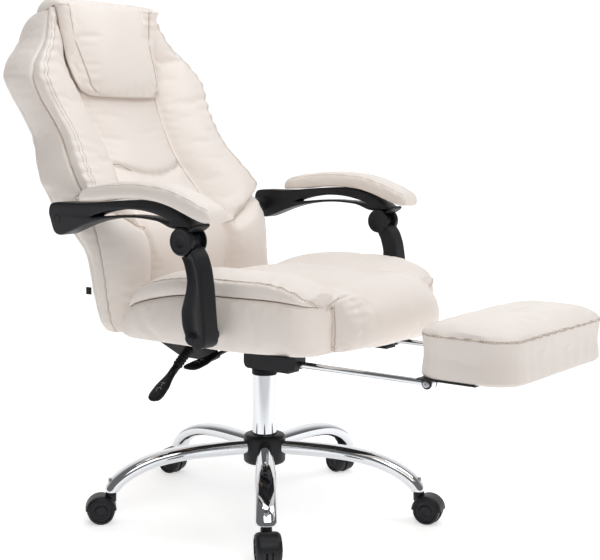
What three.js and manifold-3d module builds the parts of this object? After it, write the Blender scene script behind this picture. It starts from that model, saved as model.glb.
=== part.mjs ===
// A reclining office chair with a slide-out footrest, in millimetres, +Z up.
// The sitter faces -Y, so -X is the sitter's right hand. Heights are above the floor, and places
// along Y are measured from the gas column until the last lines move the origin.
import * as THREE from "three";
import { mergeVertices } from "three/addons/utils/BufferGeometryUtils.js";
import Module from "manifold-3d";

const wasm = await Module();
wasm.setup();

// Clearances
const gap = 0.3; // between two pieces that touch
const play = 0.6; // radial play of a pin in its eye
const overrun = 3; // how far a cutter reaches past what it cuts

// Counts
const roundSides = 16; // sides of a turned piece
const smallSides = 10; // sides of a pin, a bolt or a rod
const boltSides = 6; // of a bolt's head
const sideNames = [
  ["right", -1],
  ["left", 1],
];

// The five-legged base
const star = {
  legs: 5,
  firstAngle: -51.3, // degrees from the front, towards the sitter's left
  radius: 306, // from the column to a caster's stem
  footAboveWheels: 11, // from a caster wheel's top up to a leg's lower end
  legRoot: 123, // height of a leg's middle at the hub
  rootHalfWidth: 13.5,
  rootHalfHeight: 14,
  footHalfWidth: 12,
  footHalfLength: 12.5,
  wall: 1.8,
  stemSocketDepth: 24,
};
const hub = {
  socketOuter: 30,
  socketLow: 96,
  socketHigh: 146,
  coverOuter: 41,
  coverLow: 91,
  coverHigh: 148,
  coverRound: 7,
  legClearance: 1, // round a leg where it passes through the cover
};
const legRings = 8;
const legSides = 10;
// Along a leg: the share of its reach and the share of its drop that is still left.
const legCourseShares = [
  [0, 1], [0.2, 1.005], [0.4, 0.99], [0.56, 0.93], [0.71, 0.8], [0.85, 0.56], [0.95, 0.27], [1, 0],
];
const hollowLegShare = 0.78; // how far along its course a leg is hollow

// A twin-wheel caster
const caster = {
  wheelRadius: 25,
  wheelWidth: 17.5,
  wheelEdge: 3,
  hubRadius: 12,
  hubDish: 3,
  trail: 19,
  webThickness: 8,
  webClearance: 0.9, // between a wheel and the web
  axleRadius: 3.5,
  hoodThickness: 2.4,
  hoodClearance: 1.4,
  hoodWidth: 44.5,
  bossRadius: 10,
  stemRadius: 4.5,
  stemCollar: 8,
  stemCollarHeight: 2.2,
};
star.legFoot = 2 * caster.wheelRadius + star.footAboveWheels;
const wheelSides = 16;
// Degrees about the axle, from the trailing side: the hood's rim, and the web round the axle.
const hoodArc = { from: 12, to: 168, webFrom: 200, webTo: 340 };
const hoodSteps = 7;
// Degrees that each caster has swivelled from pointing straight out along its leg.
const casterTurns = [8, -6, 78, 25, -10];

// The gas column
const column = {
  tubeRadius: 24,
  tubeWall: 1.8,
  tubeLow: 92,
  tubeHigh: 266,
  floorThickness: 3,
  bushHigh: 276,
  bushLow: 196,
  cylinderRadius: 14,
  cylinderLow: 116,
  cylinderHigh: 346,
  boreHigh: 306,
  rodRadius: 5,
  rodHigh: 292,
  flangeRadius: 12,
  flangeThickness: 5,
  tailRadius: 4,
  tailLength: 4,
};

// The seat
const seat = {
  halfWidth: 250,
  rear: 148, // the rear end of the seat box at its foot
  front: -266, // the front face of the seat box, behind the roll
  bottom: 355,
  height: 90, // from the bottom to the crease under the top pad, where the shares are 1
  boardInset: 34,
  boardThickness: 12,
  sideRound: 9,
};
// Along the seat box: share of its length from the front, then the shares of its half width, and
// of the height where its bottom and its top lie.
const seatBoxShares = [
  [0, 0.52, 0.14, 0.82], [0.004, 0.62, 0.05, 0.9], [0.015, 0.75, 0.01, 0.93], [0.035, 0.83, 0, 0.955],
  [0.075, 0.885, 0, 0.99], [0.147, 0.915, 0, 1.02], [0.232, 0.95, 0, 1.04], [0.353, 0.995, 0, 1.05],
  [0.498, 1, 0, 1.045], [0.643, 1, 0, 0.99], [0.763, 1, 0, 0.9], [0.86, 1, 0, 0.794], [0.92, 0.998, 0, 0.7],
  [0.949, 0.99, 0.005, 0.62], [0.975, 0.98, 0.02, 0.5], [0.992, 0.965, 0.05, 0.3], [1, 0.95, 0.1, 0.16],
];
// Along the top pad and down its front roll, as shares. First the place where its underside lies:
// along the box on top of it, and up the box's front for the roll. Then where its middle line lies
// along and up, then shares of the half width: its own and its channels' places, then shares of
// its middle's depth: in the channels, at the edges, and a lobe's swell.
const seatTopPadShares = [
  [0.949, 0.949, 0.71, 0.96, 0.42, 0.9, 0.9, 0.1],
  [0.92, 0.925, 0.88, 0.975, 0.42, 0.8, 1.1, 0.4],
  [0.86, 0.862, 1.06, 0.98, 0.42, 0.7, 1.15, 0.6],
  [0.763, 0.763, 1.22, 0.984, 0.42, 0.68, 1.05, 0.66],
  [0.643, 0.643, 1.32, 0.984, 0.42, 0.66, 0.98, 0.7],
  [0.498, 0.498, 1.37, 0.984, 0.42, 0.64, 0.98, 0.72],
  [0.353, 0.353, 1.37, 0.978, 0.42, 0.62, 0.96, 0.74],
  [0.232, 0.232, 1.365, 0.935, 0.43, 0.6, 0.94, 0.74],
  [0.147, 0.147, 1.36, 0.9, 0.46, 0.58, 0.78, 0.66],
  [0.075, 0.07, 1.34, 0.87, 0.51, 0.56, 0.5, 0.5],
  [0.035, 0.02, 1.32, 0.82, 0.55, 0.54, 0.24, 0.3],
  [0.015, -0.015, 1.285, 0.72, 0.57, 0.54, 0.1, 0.12],
];
const seatRollShares = [
  [0.92, -0.056, 1.22, 0.6, 0.52, 0.6, 0.03, 0.12],
  [0.8, -0.118, 1.05, 0.6, 0.5, 0.62, 0.03, 0.12],
  [0.62, -0.166, 0.81, 0.6, 0.5, 0.62, 0.03, 0.12],
  [0.45, -0.184, 0.53, 0.6, 0.5, 0.62, 0.03, 0.12],
  [0.29, -0.17, 0.28, 0.6, 0.5, 0.62, 0.03, 0.12],
  [0.16, -0.135, 0.11, 0.6, 0.5, 0.62, 0.03, 0.12],
  [0.08, -0.08, 0.03, 0.6, 0.5, 0.62, 0.05, 0.12],
  [0.03, -0.03, 0.02, 0.58, 0.48, 0.7, 0.3, 0.1],
];
const seatPadAcross = 14; // steps over half of the top pad

// The back
const back = {
  bottom: 355,
  height: 630,
  foot: 150, // the place along Y that the lean shares start from
  lean: 300, // the length along Y that they are shares of
  halfWidth: seat.halfWidth,
  rearCrown: 13, // how far the middle of the rear panel bulges
  cornerInset: 14, // of the rounded rear corners
  padThinnest: 9, // of the pad over the shell, in its seams
  centreCrown: 13,
  bolsterBulge: 33,
  wingBulge: 15,
  wingWall: 29,
  seamDip: 6,
  seamHalfWidth: 11,
  edgeRound: 7,
};
// The rows of the back, closer together where the lumbar seam runs.
const backRowShares = [...steps(0, 1, 24), 0.445, 0.4725, 0.4875].sort((p, q) => p - q);
const backPadAcross = 18;
// Tables up the back: share of the height, then the share of the lean or of the half width.
const rearShares = [
  [0, 0.2], [0.03, 0.235], [0.1, 0.275], [0.233, 0.335], [0.3, 0.44], [0.392, 0.64], [0.489, 0.78],
  [0.605, 0.92], [0.73, 1.07], [0.83, 1.15], [0.93, 1.185], [1, 1.19],
];
const sideSeamShares = [
  [0, 0.06], [0.05, 0.09], [0.203, 0.133], [0.3, 0.167], [0.392, 0.267], [0.4365, 0.333], [0.546, 0.527],
  [0.63, 0.647], [0.7, 0.74], [0.765, 0.793], [0.83, 0.84], [0.9, 0.887], [1, 0.953],
];
const creaseShares = [
  [0, 0.14], [0.132, 0.14], [0.225, 0.13], [0.298, 0.167], [0.349, 0.253], [0.4016, 0.36], [0.498, 0.517],
  [0.598, 0.65], [0.7365, 0.8], [0.865, 0.93], [1, 1.03],
];
const halfWidthShares = [
  [0, 0.91], [0.04, 0.945], [0.135, 0.96], [0.203, 0.966], [0.327, 0.992], [0.438, 0.992], [0.5, 0.955],
  [0.55, 0.91], [0.598, 0.888], [0.66, 0.904], [0.71, 0.93], [0.765, 0.948], [0.8, 0.91], [0.833, 0.848],
  [0.865, 0.768], [0.897, 0.704], [0.944, 0.648], [1, 0.592],
];
const creasePlaceShares = [
  [0, 0.5], [0.3, 0.49], [0.498, 0.42], [0.6, 0.46], [0.74, 0.48], [0.9, 0.62], [1, 0.68],
];
const wingFoot = { inner: 120, outer: 234, innerHeight: 542, outerHeight: 608, blend: 22 };
const lumbarSeam = { half: 101, ends: 669, sag: 24 };

// The headrest
const headrest = {
  low: 803,
  high: 1003,
  bottomHalfWidth: 116,
  topHalfWidth: 146,
  bulge: 40,
  edge: 8, // its thickness at its sewn edge
  sunk: 25, // how deep its rear face reaches before the back is cut out of it
  overhang: 12, // how far its top stops short of the rear of the shell
  roomFromShare: 0.6, // height of the back from which it is kept clear of
};
const headrestAcross = 12;
// Heights of the rings over the top of the back, as shares of what stands above it.
const headrestTopShares = [0.02, 0.15, 0.45, 0.75, 0.92, 1];

// The linkage that keeps the arms in step with the back. Places are [Y, Z].
const link = {
  hinge: [212, 412], // back on seat
  armRear: [230, 575], // arm on back
  armReach: 304, // from the knuckle back to the arm's rear pivot, along Y
  armRise: 25, // and up
};
link.knuckle = [link.armRear[0] - link.armReach, link.armRear[1] - link.armRise];
link.postFoot = [link.hinge[0] - link.armReach, link.hinge[1] - link.armRise];

const arm = {
  standOff: 54, // from the side of the seat to the arm's middle plane
  halfWidth: 19,
  bossRadius: 13,
  boltRadius: 5,
  boltReach: 22, // of a pivot bolt into the back or the seat
  discRadius: 24,
  discThickness: 13,
  discDent: 2,
  pinRadius: 6,
  recessRadius: 7,
  recessDepth: 5,
};
arm.middle = Math.max(seat.halfWidth, back.halfWidth) + arm.standOff;
// The arm's outline as shares of its reach (from the knuckle back) and of its rise over the knuckle.
const armSpan = 304;
const armHeight = 66;
const armTopShares = [
  [1.062, 0.36], [1.075, 0.56], [1.06, 0.78], [1.01, 0.85], [0.9, 0.86], [0.75, 0.87], [0.55, 0.95],
  [0.35, 1], [0.2, 0.97], [0.1, 0.88], [0.01, 0.7], [-0.05, 0.52], [-0.1, 0.44], [-0.13, 0.5],
];
const armUnderShares = [
  [-0.135, 0.42], [-0.1, 0.27], [-0.05, 0.24], [0.02, 0.3], [0.09, 0.34], [0.2, 0.5], [0.35, 0.54],
  [0.5, 0.5], [0.65, 0.4], [0.78, 0.24], [0.9, 0.04], [0.975, -0.06], [1.03, 0.02],
];
const armSlotShares = [
  [0.13, 0.56], [0.2, 0.655], [0.32, 0.72], [0.45, 0.71], [0.58, 0.62], [0.64, 0.55], [0.5, 0.615],
  [0.36, 0.635], [0.22, 0.6],
];
const armPad = {
  halfWidth: 31,
  rear: 175,
  front: -122,
  thickness: 28,
  frontDrop: 9,
};
const armPadRows = 12;
const armPadSides = 12;
// The arm pad's underside: share of its length from the front, and share of the arm's height.
const armPadUnderShares = [
  [0, 0.58], [0.06, 0.57], [0.13, 0.68], [0.25, 0.86], [0.37, 0.98], [0.5, 1.02], [0.65, 1.0],
  [0.83, 0.92], [1, 0.89],
];
const post = { headRadius: 15, footRadius: 21, footBossRadius: 9 };
// The post's edges as shares of its height, and lengths along Y as shares of its foot's radius.
const postRearShares = [[0.93, 0.55], [0.8, 0.2], [0.62, -0.1], [0.42, 0.35], [0.24, 0.75], [0.1, 0.9]];
const postFrontShares = [[0.1, -1.1], [0.3, -1.28], [0.5, -1.2], [0.7, -0.9], [0.88, -0.35]];

// The steel under the seat
const plate = { halfWidth: 100, front: -118, rear: 126, thickness: 3 };
const channel = {
  halfWidth: 40,
  front: -96,
  rear: 118,
  depth: 34,
  wall: 3,
  socketRadius: 21,
  socketLow: 306,
};
const bracket = {
  middle: 128, // distance of a back hinge bracket from the chair's middle plane
  thickness: 5,
  eyeRadius: 13,
  front: -15,
  skirtFront: 28, // the deep part of the skirt
  skirtRear: 99,
  skirtDepth: 48,
  edgeDepth: 13, // of its front and rear edges
  step: 170, // where the bracket turns up behind the seat
  flange: 30, // width of the foot that lies under the seat board
  slotHalfWidth: 8, // of the slots that the levers' rods pass through
  slotHeight: 20,
  boltRadius: 5,
  boltHead: 3,
};
const hingePin = { radius: 5, halfLength: 166 };
const hingeSlot = { side: 4, above: 20, behind: 17 };

// The levers under the sitter's right side. Places are [X, Z] in a plane across the chair.
const lever = {
  rodRadius: 4,
  barrelRadius: 7,
  barrelHalf: 7,
  pinRadius: 3.2,
  earThickness: 3,
  earGap: 0.5,
  earHalf: 9,
  paddleThickness: 7,
  neckRadius: 7.5,
  neckLength: 16,
  socketDepth: 12,
};
const liftLever = {
  place: 58, // along Y
  pivot: [-56, 336],
  bend: [-146, 337],
  end: [-208, 287],
  paddleLength: 74,
  paddleHalfWidth: 17,
};
const reclineLever = {
  place: 5, // along Y
  pivot: [-56, 334],
  bend: [-92, 330],
  end: [-154, 319],
  paddleLength: 78,
  paddleHalfWidth: 18,
};
const bendSoftShare = 0.12; // share of each straight run that the bend rounds off
const bendSteps = 4;
const sleeve = {
  bore: 4.6,
  valley: 7.5,
  crest: 9.5,
  pitch: 7,
  ribs: 6,
  end: 9,
  sides: 8,
  ringEvery: 5, // ribs from one ring of the bore to the next
};
// A paddle's outline: share of its length, and share of its half width.
const paddleShares = [[0, 0.42], [0.25, 0.62], [0.55, 0.95], [0.78, 1], [0.93, 0.8], [1, 0.4]];

// The footrest
const rail = {
  middle: 158, // distance of a rod from the chair's middle plane
  rodRadius: 5.5,
  height: 331,
  rodRear: -125,
  pivot: -463,
  guideFront: -203,
  guideRear: -89,
  guideLow: 315,
  guideHalfWidth: 16,
  guideRound: 9,
  noseDrop: 8,
  noseLength: 14,
  bossRadius: 9,
  bossHalf: 7,
  pinRadius: 3.4,
  earThickness: 2.5,
  earGap: 0.6,
  plateThickness: 2.2,
  plateRise: 9.3, // of the plate's underside over the pivot
  plateHalfWidth: 26,
  plateFront: -560,
};
const footPad = {
  halfWidth: 184,
  rear: -441,
  front: -621,
  height: 92,
  cornerRadius: 50,
};
const footPadCorner = 7; // points round one corner
const sharpestCornerShare = 0.03; // of the corner radius that is left where the outline is inset most
// Up the foot pad: share of its height, and the inset as a share of the corner radius.
const footPadShares = [
  [0, 0.1], [0.05, 0.02], [0.36, 0.08], [0.68, 0.03], [0.76, 0.0], [0.86, 0.12], [0.94, 0.36], [0.985, 0.72],
];

// Finishes
function finish(color, roughness, metalness) {
  return new THREE.MeshStandardMaterial({ color, roughness, metalness });
}
const finishes = {
  leather: finish("#e9dfd5", 0.55, 0),
  blackPlastic: finish("#1b1c1f", 0.45, 0),
  chrome: finish("#d5d7da", 0.12, 1),
  steel: finish("#9a9ca0", 0.3, 1),
  blackSteel: finish("#16171a", 0.5, 0.4),
  rubber: finish("#141415", 0.8, 0),
  nylon: finish("#232428", 0.5, 0),
  plywood: finish("#b08b5b", 0.7, 0),
};

const chair = new THREE.Group();
const degrees = Math.PI / 180;

// Geometry to solid and back. Only positions are kept, so that shared corners merge.
function solid(geometry) {
  const bare = new THREE.BufferGeometry().setAttribute("position", geometry.getAttribute("position"));
  bare.setIndex(geometry.index);
  const merged = mergeVertices(bare.index ? bare.toNonIndexed() : bare);
  const made = new wasm.Manifold(
    new wasm.Mesh({
      numProp: 3,
      vertProperties: merged.attributes.position.array,
      triVerts: new Uint32Array(merged.index.array),
    }),
  );
  return made;
}

function addPiece(name, shape, material) {
  const mesh = shape.getMesh();
  const geometry = new THREE.BufferGeometry();
  geometry.setAttribute("position", new THREE.BufferAttribute(mesh.vertProperties, mesh.numProp));
  geometry.setIndex(new THREE.BufferAttribute(mesh.triVerts, 1));
  geometry.computeVertexNormals();
  const piece = new THREE.Mesh(geometry, material);
  piece.name = name;
  chair.add(piece);
  return piece;
}

function joined(...shapes) {
  return shapes.reduce((whole, shape) => whole.add(shape));
}

function cut(shape, ...cutters) {
  return cutters.reduce((left, cutter) => left.subtract(cutter), shape);
}

// The largest body of a shape, without the crumbs that a cut can leave.
function largest(shape) {
  return shape.decompose().reduce((most, body) => (body.volume() > most.volume() ? body : most));
}

// A closed skin over rings of equally many points. The two ends are closed by fans, unless the
// rings go round in a loop. A skin that comes out inside out is turned.
function loft(rings, inLoop = false) {
  const count = rings[0].length;
  const positions = rings.flat().flatMap((p) => [p.x, p.y, p.z]);
  const faces = [];
  const lastRing = inLoop ? rings.length : rings.length - 1;
  for (let r = 0; r < lastRing; r++) {
    const here = r * count;
    const next = ((r + 1) % rings.length) * count;
    for (let i = 0; i < count; i++) {
      const j = (i + 1) % count;
      faces.push(here + i, here + j, next + j, here + i, next + j, next + i);
    }
  }
  if (!inLoop) {
    [rings[0], rings[rings.length - 1]].forEach((ring, end) => {
      const middle = ring.reduce((sum, p) => sum.add(p), new THREE.Vector3()).divideScalar(count);
      const apex = positions.length / 3;
      positions.push(middle.x, middle.y, middle.z);
      const start = end === 0 ? 0 : (rings.length - 1) * count;
      for (let i = 0; i < count; i++) {
        const j = (i + 1) % count;
        if (end === 0) faces.push(start + j, start + i, apex);
        else faces.push(start + i, start + j, apex);
      }
    });
  }
  const at = (k) => new THREE.Vector3().fromArray(positions, 3 * k);
  let volume = 0;
  for (let f = 0; f < faces.length; f += 3) {
    volume += at(faces[f]).dot(at(faces[f + 1]).cross(at(faces[f + 2])));
  }
  if (volume < 0) faces.reverse();
  const geometry = new THREE.BufferGeometry();
  geometry.setAttribute("position", new THREE.Float32BufferAttribute(positions, 3));
  geometry.setIndex(faces);
  return solid(geometry);
}

// A flat outline pushed out along one axis, from one place to another. The outline's two numbers
// are Y and Z for the X axis, Z and X for the Y axis, and X and Y for the Z axis.
function slab(outline, axis, from, to) {
  const shape = new THREE.Shape(outline.map((p) => new THREE.Vector2(p[0], p[1])));
  const geometry = new THREE.ExtrudeGeometry(shape, { depth: to - from, bevelEnabled: false });
  geometry.translate(0, 0, from);
  const x = new THREE.Vector3(1, 0, 0);
  const y = new THREE.Vector3(0, 1, 0);
  const z = new THREE.Vector3(0, 0, 1);
  const basis = new THREE.Matrix4();
  if (axis === "x") basis.makeBasis(y, z, x);
  if (axis === "y") basis.makeBasis(z, x, y);
  return solid(geometry.applyMatrix4(basis));
}

function block(low, high) {
  const size = high.map((value, i) => value - low[i]);
  const geometry = new THREE.BoxGeometry(...size);
  geometry.translate(...low.map((value, i) => value + size[i] / 2));
  return solid(geometry);
}

// A round bar between two points.
function bar(from, to, radius, sides = smallSides) {
  const a = new THREE.Vector3(...from);
  const b = new THREE.Vector3(...to);
  const geometry = new THREE.CylinderGeometry(radius, radius, a.distanceTo(b), sides);
  const up = new THREE.Vector3(0, 1, 0);
  const turn = new THREE.Quaternion().setFromUnitVectors(up, b.clone().sub(a).normalize());
  geometry.applyQuaternion(turn);
  geometry.translate(...a.add(b).divideScalar(2).toArray());
  return solid(geometry);
}

// A profile of [radius, height] turned about the Z axis. It starts and ends on the axis, or
// comes back to its first point.
function turned(profile, sides = roundSides) {
  const points = profile.map((p) => new THREE.Vector2(p[0], p[1]));
  const geometry = new THREE.LatheGeometry(points, sides);
  geometry.rotateX(Math.PI / 2);
  const made = solid(geometry);
  if (made.volume() > 0) return made;
  return solid(new THREE.LatheGeometry(points.reverse(), sides).rotateX(Math.PI / 2));
}

// A tube that is solid, along a list of points in one plane, whose normal is `side`.
function planarTube(points, side, halfSizes, sides) {
  const rings = points.map((point, i) => {
    const before = points[Math.max(i - 1, 0)];
    const after = points[Math.min(i + 1, points.length - 1)];
    const along = after.clone().sub(before).normalize();
    const up = along.clone().cross(side);
    const [halfSide, halfUp] = halfSizes(i / (points.length - 1));
    return Array.from({ length: sides }, (_, k) => {
      const angle = (2 * Math.PI * k) / sides;
      const across = side.clone().multiplyScalar(halfSide * Math.cos(angle));
      return across.add(up.clone().multiplyScalar(halfUp * Math.sin(angle))).add(point);
    });
  });
  return loft(rings);
}

// The value of a table at s, on a smooth curve through its points that never overshoots.
function follow(table, s) {
  const last = table.length - 1;
  if (s <= table[0][0]) return table[0][1];
  if (s >= table[last][0]) return table[last][1];
  const i = table.findIndex((row) => row[0] > s) - 1;
  const slope = (k) => (table[k + 1][1] - table[k][1]) / (table[k + 1][0] - table[k][0]);
  const tangent = (k) => {
    if (k === 0 || k === last) return slope(Math.min(k, last - 1));
    const before = slope(k - 1);
    const after = slope(k);
    return before * after <= 0 ? 0 : (2 * before * after) / (before + after);
  };
  const width = table[i + 1][0] - table[i][0];
  const t = (s - table[i][0]) / width;
  const rise = t * t * (3 - 2 * t);
  const startPull = t * (1 - t) * (1 - t) * width * tangent(i);
  const endPull = -t * t * (1 - t) * width * tangent(i + 1);
  return table[i][1] + (table[i + 1][1] - table[i][1]) * rise + startPull + endPull;
}

function smoothstep(low, high, value) {
  const t = Math.min(Math.max((value - low) / (high - low), 0), 1);
  return t * t * (3 - 2 * t);
}

// Evenly spaced numbers from one value to another.
function steps(from, to, count) {
  return Array.from({ length: count + 1 }, (_, i) => from + ((to - from) * i) / count);
}

// The base: hub, legs and casters
function legDirection(index) {
  const angle = (star.firstAngle + (360 / star.legs) * index) * degrees;
  return new THREE.Vector3(Math.sin(angle), -Math.cos(angle), 0);
}

// Points along the middle of a leg, in the radial plane, up to a share of its course.
function legCourse(index, startRadius, endShare, rings) {
  const outward = legDirection(index);
  const reach = star.radius - hub.socketOuter;
  const drop = star.legRoot - star.legFoot;
  const knots = legCourseShares.map(([out, left]) => new THREE.Vector3(out * reach, 0, left * drop));
  const curve = new THREE.CatmullRomCurve3(knots);
  return steps(0, endShare, rings).map((s) => {
    const place = curve.getPoint(s);
    const radius = hub.socketOuter + gap + place.x * ((reach - gap) / reach) + (s === 0 ? startRadius : 0);
    return outward.clone().multiplyScalar(radius).setZ(star.legFoot + place.z);
  });
}

function legSection(shrink, endShare) {
  return (s) => {
    const share = s * endShare;
    const halfWidth = star.rootHalfWidth + (star.footHalfWidth - star.rootHalfWidth) * share;
    const halfHeight = star.rootHalfHeight + (star.footHalfLength - star.rootHalfHeight) * share;
    return [halfWidth - shrink, halfHeight - shrink];
  };
}

function legSolid(index, shrink) {
  const outward = legDirection(index);
  const side = new THREE.Vector3(-outward.y, outward.x, 0);
  const points = legCourse(index, 0, 1, legRings);
  // The foot ends square to the floor.
  const last = points[points.length - 1];
  points[points.length - 2].copy(last).setZ(last.z + (points[points.length - 3].z - last.z) / 2);
  return planarTube(points, side, legSection(shrink, 1), legSides);
}

function legHollow(index) {
  const outward = legDirection(index);
  const side = new THREE.Vector3(-outward.y, outward.x, 0);
  const points = legCourse(index, -overrun, hollowLegShare, legRings - 4);
  return planarTube(points, side, legSection(star.wall, hollowLegShare), legSides);
}

function addLeg(index) {
  const foot = legDirection(index).multiplyScalar(star.radius);
  const below = star.legFoot - overrun;
  const above = star.legFoot + star.stemSocketDepth;
  const level = star.legFoot;
  const floorCut = block(
    [foot.x - star.radius, foot.y - star.radius, level - star.radius],
    [foot.x + star.radius, foot.y + star.radius, level],
  );
  const bore = bar([foot.x, foot.y, below], [foot.x, foot.y, above], caster.stemRadius + gap);
  const leg = cut(legSolid(index, 0), legHollow(index), floorCut, bore);
  addPiece(`base_leg_${index + 1}`, leg, finishes.chrome);
}

function addHub() {
  const bore = column.tubeRadius + gap;
  const socket = turned([
    [bore, hub.socketLow], [hub.socketOuter, hub.socketLow], [hub.socketOuter, hub.socketHigh],
    [bore, hub.socketHigh], [bore, hub.socketLow],
  ]);
  addPiece("base_hub_socket", socket, finishes.steel);
  const inner = hub.socketOuter + gap;
  const round = hub.coverRound;
  let cover = turned([
    [inner, hub.coverLow], [hub.coverOuter - round / 2, hub.coverLow], [hub.coverOuter, hub.coverLow + round],
    [hub.coverOuter, hub.coverHigh - round], [hub.coverOuter - round / 3, hub.coverHigh - round / 3],
    [hub.coverOuter - round, hub.coverHigh], [bore, hub.coverHigh], [bore, hub.socketHigh + gap],
    [inner, hub.socketHigh + gap], [inner, hub.coverLow],
  ]);
  for (let k = 0; k < star.legs; k++) {
    cover = cover.subtract(legSolid(k, -hub.legClearance));
  }
  addPiece("base_hub_cover", cover, finishes.blackPlastic);
}

// A caster is made at the origin, trailing along +X, and its group carries it to its leg.
function casterStem() {
  const top = star.legFoot + star.stemSocketDepth - gap;
  const seatLevel = star.legFoot - gap;
  const foot = star.legFoot - caster.bossRadius * 2;
  return turned([
    [0, foot], [caster.stemRadius, foot], [caster.stemRadius, seatLevel - caster.stemCollarHeight],
    [caster.stemCollar, seatLevel - caster.stemCollarHeight], [caster.stemCollar, seatLevel],
    [caster.stemRadius, seatLevel], [caster.stemRadius, top - caster.stemCollarHeight],
    [caster.stemRadius - caster.stemCollarHeight / 2, top], [0, top],
  ], smallSides);
}

function casterHood() {
  const axle = [caster.trail, caster.wheelRadius];
  const bossTop = star.legFoot - gap - caster.stemCollarHeight - gap;
  const bossFoot = bossTop - caster.bossRadius * 2;
  const halfWeb = caster.webThickness / 2;
  const outer = caster.wheelRadius + caster.hoodClearance + caster.hoodThickness;
  const arc = (radius, from, to) =>
    steps(from, to, hoodSteps).map((a) => [
      axle[1] + radius * Math.sin(a * degrees),
      axle[0] + radius * Math.cos(a * degrees),
    ]);
  const rim = arc(outer, hoodArc.from, hoodArc.to);
  const outline = [...rim, ...arc(caster.hubRadius, hoodArc.webFrom, hoodArc.webTo)];
  const cap = slab(outline, "y", -caster.hoodWidth / 2, caster.hoodWidth / 2);
  const boss = bar([0, 0, bossFoot], [0, 0, bossTop], caster.bossRadius, roundSides);
  const stemFoot = star.legFoot - caster.bossRadius * 2 - gap;
  const stemBore = bar([0, 0, stemFoot], [0, 0, bossTop + overrun], caster.stemRadius + gap);
  const axleBore = bar(
    [axle[0], -halfWeb - overrun, axle[1]],
    [axle[0], halfWeb + overrun, axle[1]],
    caster.axleRadius + play,
  );
  return cut(joined(cap, boss), wheelSpace(1), wheelSpace(-1), stemBore, axleBore);
}

// The room that one wheel turns in.
function wheelSpace(hand) {
  const from = caster.webThickness / 2;
  const radius = caster.wheelRadius + caster.hoodClearance;
  const near = [caster.trail, hand * from, caster.wheelRadius];
  const far = [caster.trail, hand * (caster.hoodWidth / 2 + overrun), caster.wheelRadius];
  return bar(near, far, radius, roundSides);
}

// One wheel, flat facet down. The right wheel carries the axle, whose end sits in the left one.
function casterWheel(hand) {
  const inside = caster.webThickness / 2 + caster.webClearance;
  const outside = inside + caster.wheelWidth;
  const radius = caster.wheelRadius / Math.cos(Math.PI / wheelSides);
  const edge = caster.wheelEdge;
  const wheel = turned([
    [0, inside], [radius, inside], [radius, outside - edge],
    [radius - edge, outside], [caster.hubRadius, outside - caster.hubDish], [0, outside - caster.hubDish],
  ], wheelSides);
  const flatDown = wheel.rotate([0, 0, 180 / wheelSides]).rotate([-90 * hand, 0, 0]);
  const placed = flatDown.translate([caster.trail, 0, caster.wheelRadius]);
  const axleEnd = inside + caster.wheelWidth / 2;
  const axle = (radiusNow, from, to) =>
    bar([caster.trail, from, caster.wheelRadius], [caster.trail, to, caster.wheelRadius], radiusNow);
  if (hand < 0) return placed.add(axle(caster.axleRadius, -inside - caster.hubDish, axleEnd));
  return placed.subtract(axle(caster.axleRadius + gap, inside - overrun, axleEnd + gap));
}

function addCaster(index) {
  const outward = legDirection(index);
  const turn = Math.atan2(outward.y, outward.x) / degrees + casterTurns[index];
  const foot = outward.multiplyScalar(star.radius).toArray();
  const place = (shape) => shape.rotate([0, 0, turn]).translate(foot);
  const number = index + 1;
  addPiece(`caster_stem_${number}`, place(casterStem()), finishes.steel);
  addPiece(`caster_hood_${number}`, place(casterHood()), finishes.blackPlastic);
  addPiece(`caster_wheel_${number}_right`, place(casterWheel(-1)), finishes.nylon);
  addPiece(`caster_wheel_${number}_left`, place(casterWheel(1)), finishes.nylon);
}

// The gas column
function addColumn() {
  const c = column;
  const tubeBore = c.tubeRadius - c.tubeWall;
  const floor = c.tubeLow + c.floorThickness;
  const tailBore = c.tailRadius + gap;
  const tube = turned([
    [tailBore, c.tubeLow], [c.tubeRadius, c.tubeLow], [c.tubeRadius, c.tubeHigh], [tubeBore, c.tubeHigh],
    [tubeBore, floor], [tailBore, floor], [tailBore, c.tubeLow],
  ]);
  addPiece("gas_lift_outer_tube", tube, finishes.chrome);
  const bushBore = c.cylinderRadius + play;
  const bush = turned([
    [bushBore, c.bushLow], [tubeBore - gap, c.bushLow], [tubeBore - gap, c.tubeHigh + gap],
    [c.tubeRadius, c.tubeHigh + gap], [c.tubeRadius - gap, c.bushHigh], [bushBore, c.bushHigh],
    [bushBore, c.bushLow],
  ]);
  addPiece("gas_lift_guide_bush", bush, finishes.blackPlastic);
  const flangeFoot = floor + gap;
  const rod = turned([
    [0, c.tubeLow - c.tailLength], [c.tailRadius, c.tubeLow - c.tailLength], [c.tailRadius, flangeFoot],
    [c.flangeRadius, flangeFoot], [c.flangeRadius, flangeFoot + c.flangeThickness],
    [c.rodRadius, flangeFoot + c.flangeThickness], [c.rodRadius, c.rodHigh], [0, c.rodHigh],
  ], smallSides);
  addPiece("gas_lift_piston_rod", rod, finishes.steel);
  const rodBore = c.rodRadius + play;
  const cylinder = turned([
    [rodBore, c.cylinderLow], [c.cylinderRadius, c.cylinderLow], [c.cylinderRadius, c.cylinderHigh],
    [0, c.cylinderHigh], [0, c.boreHigh], [rodBore, c.boreHigh], [rodBore, c.cylinderLow],
  ]);
  addPiece("gas_lift_cylinder", cylinder, finishes.chrome);
}

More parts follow.
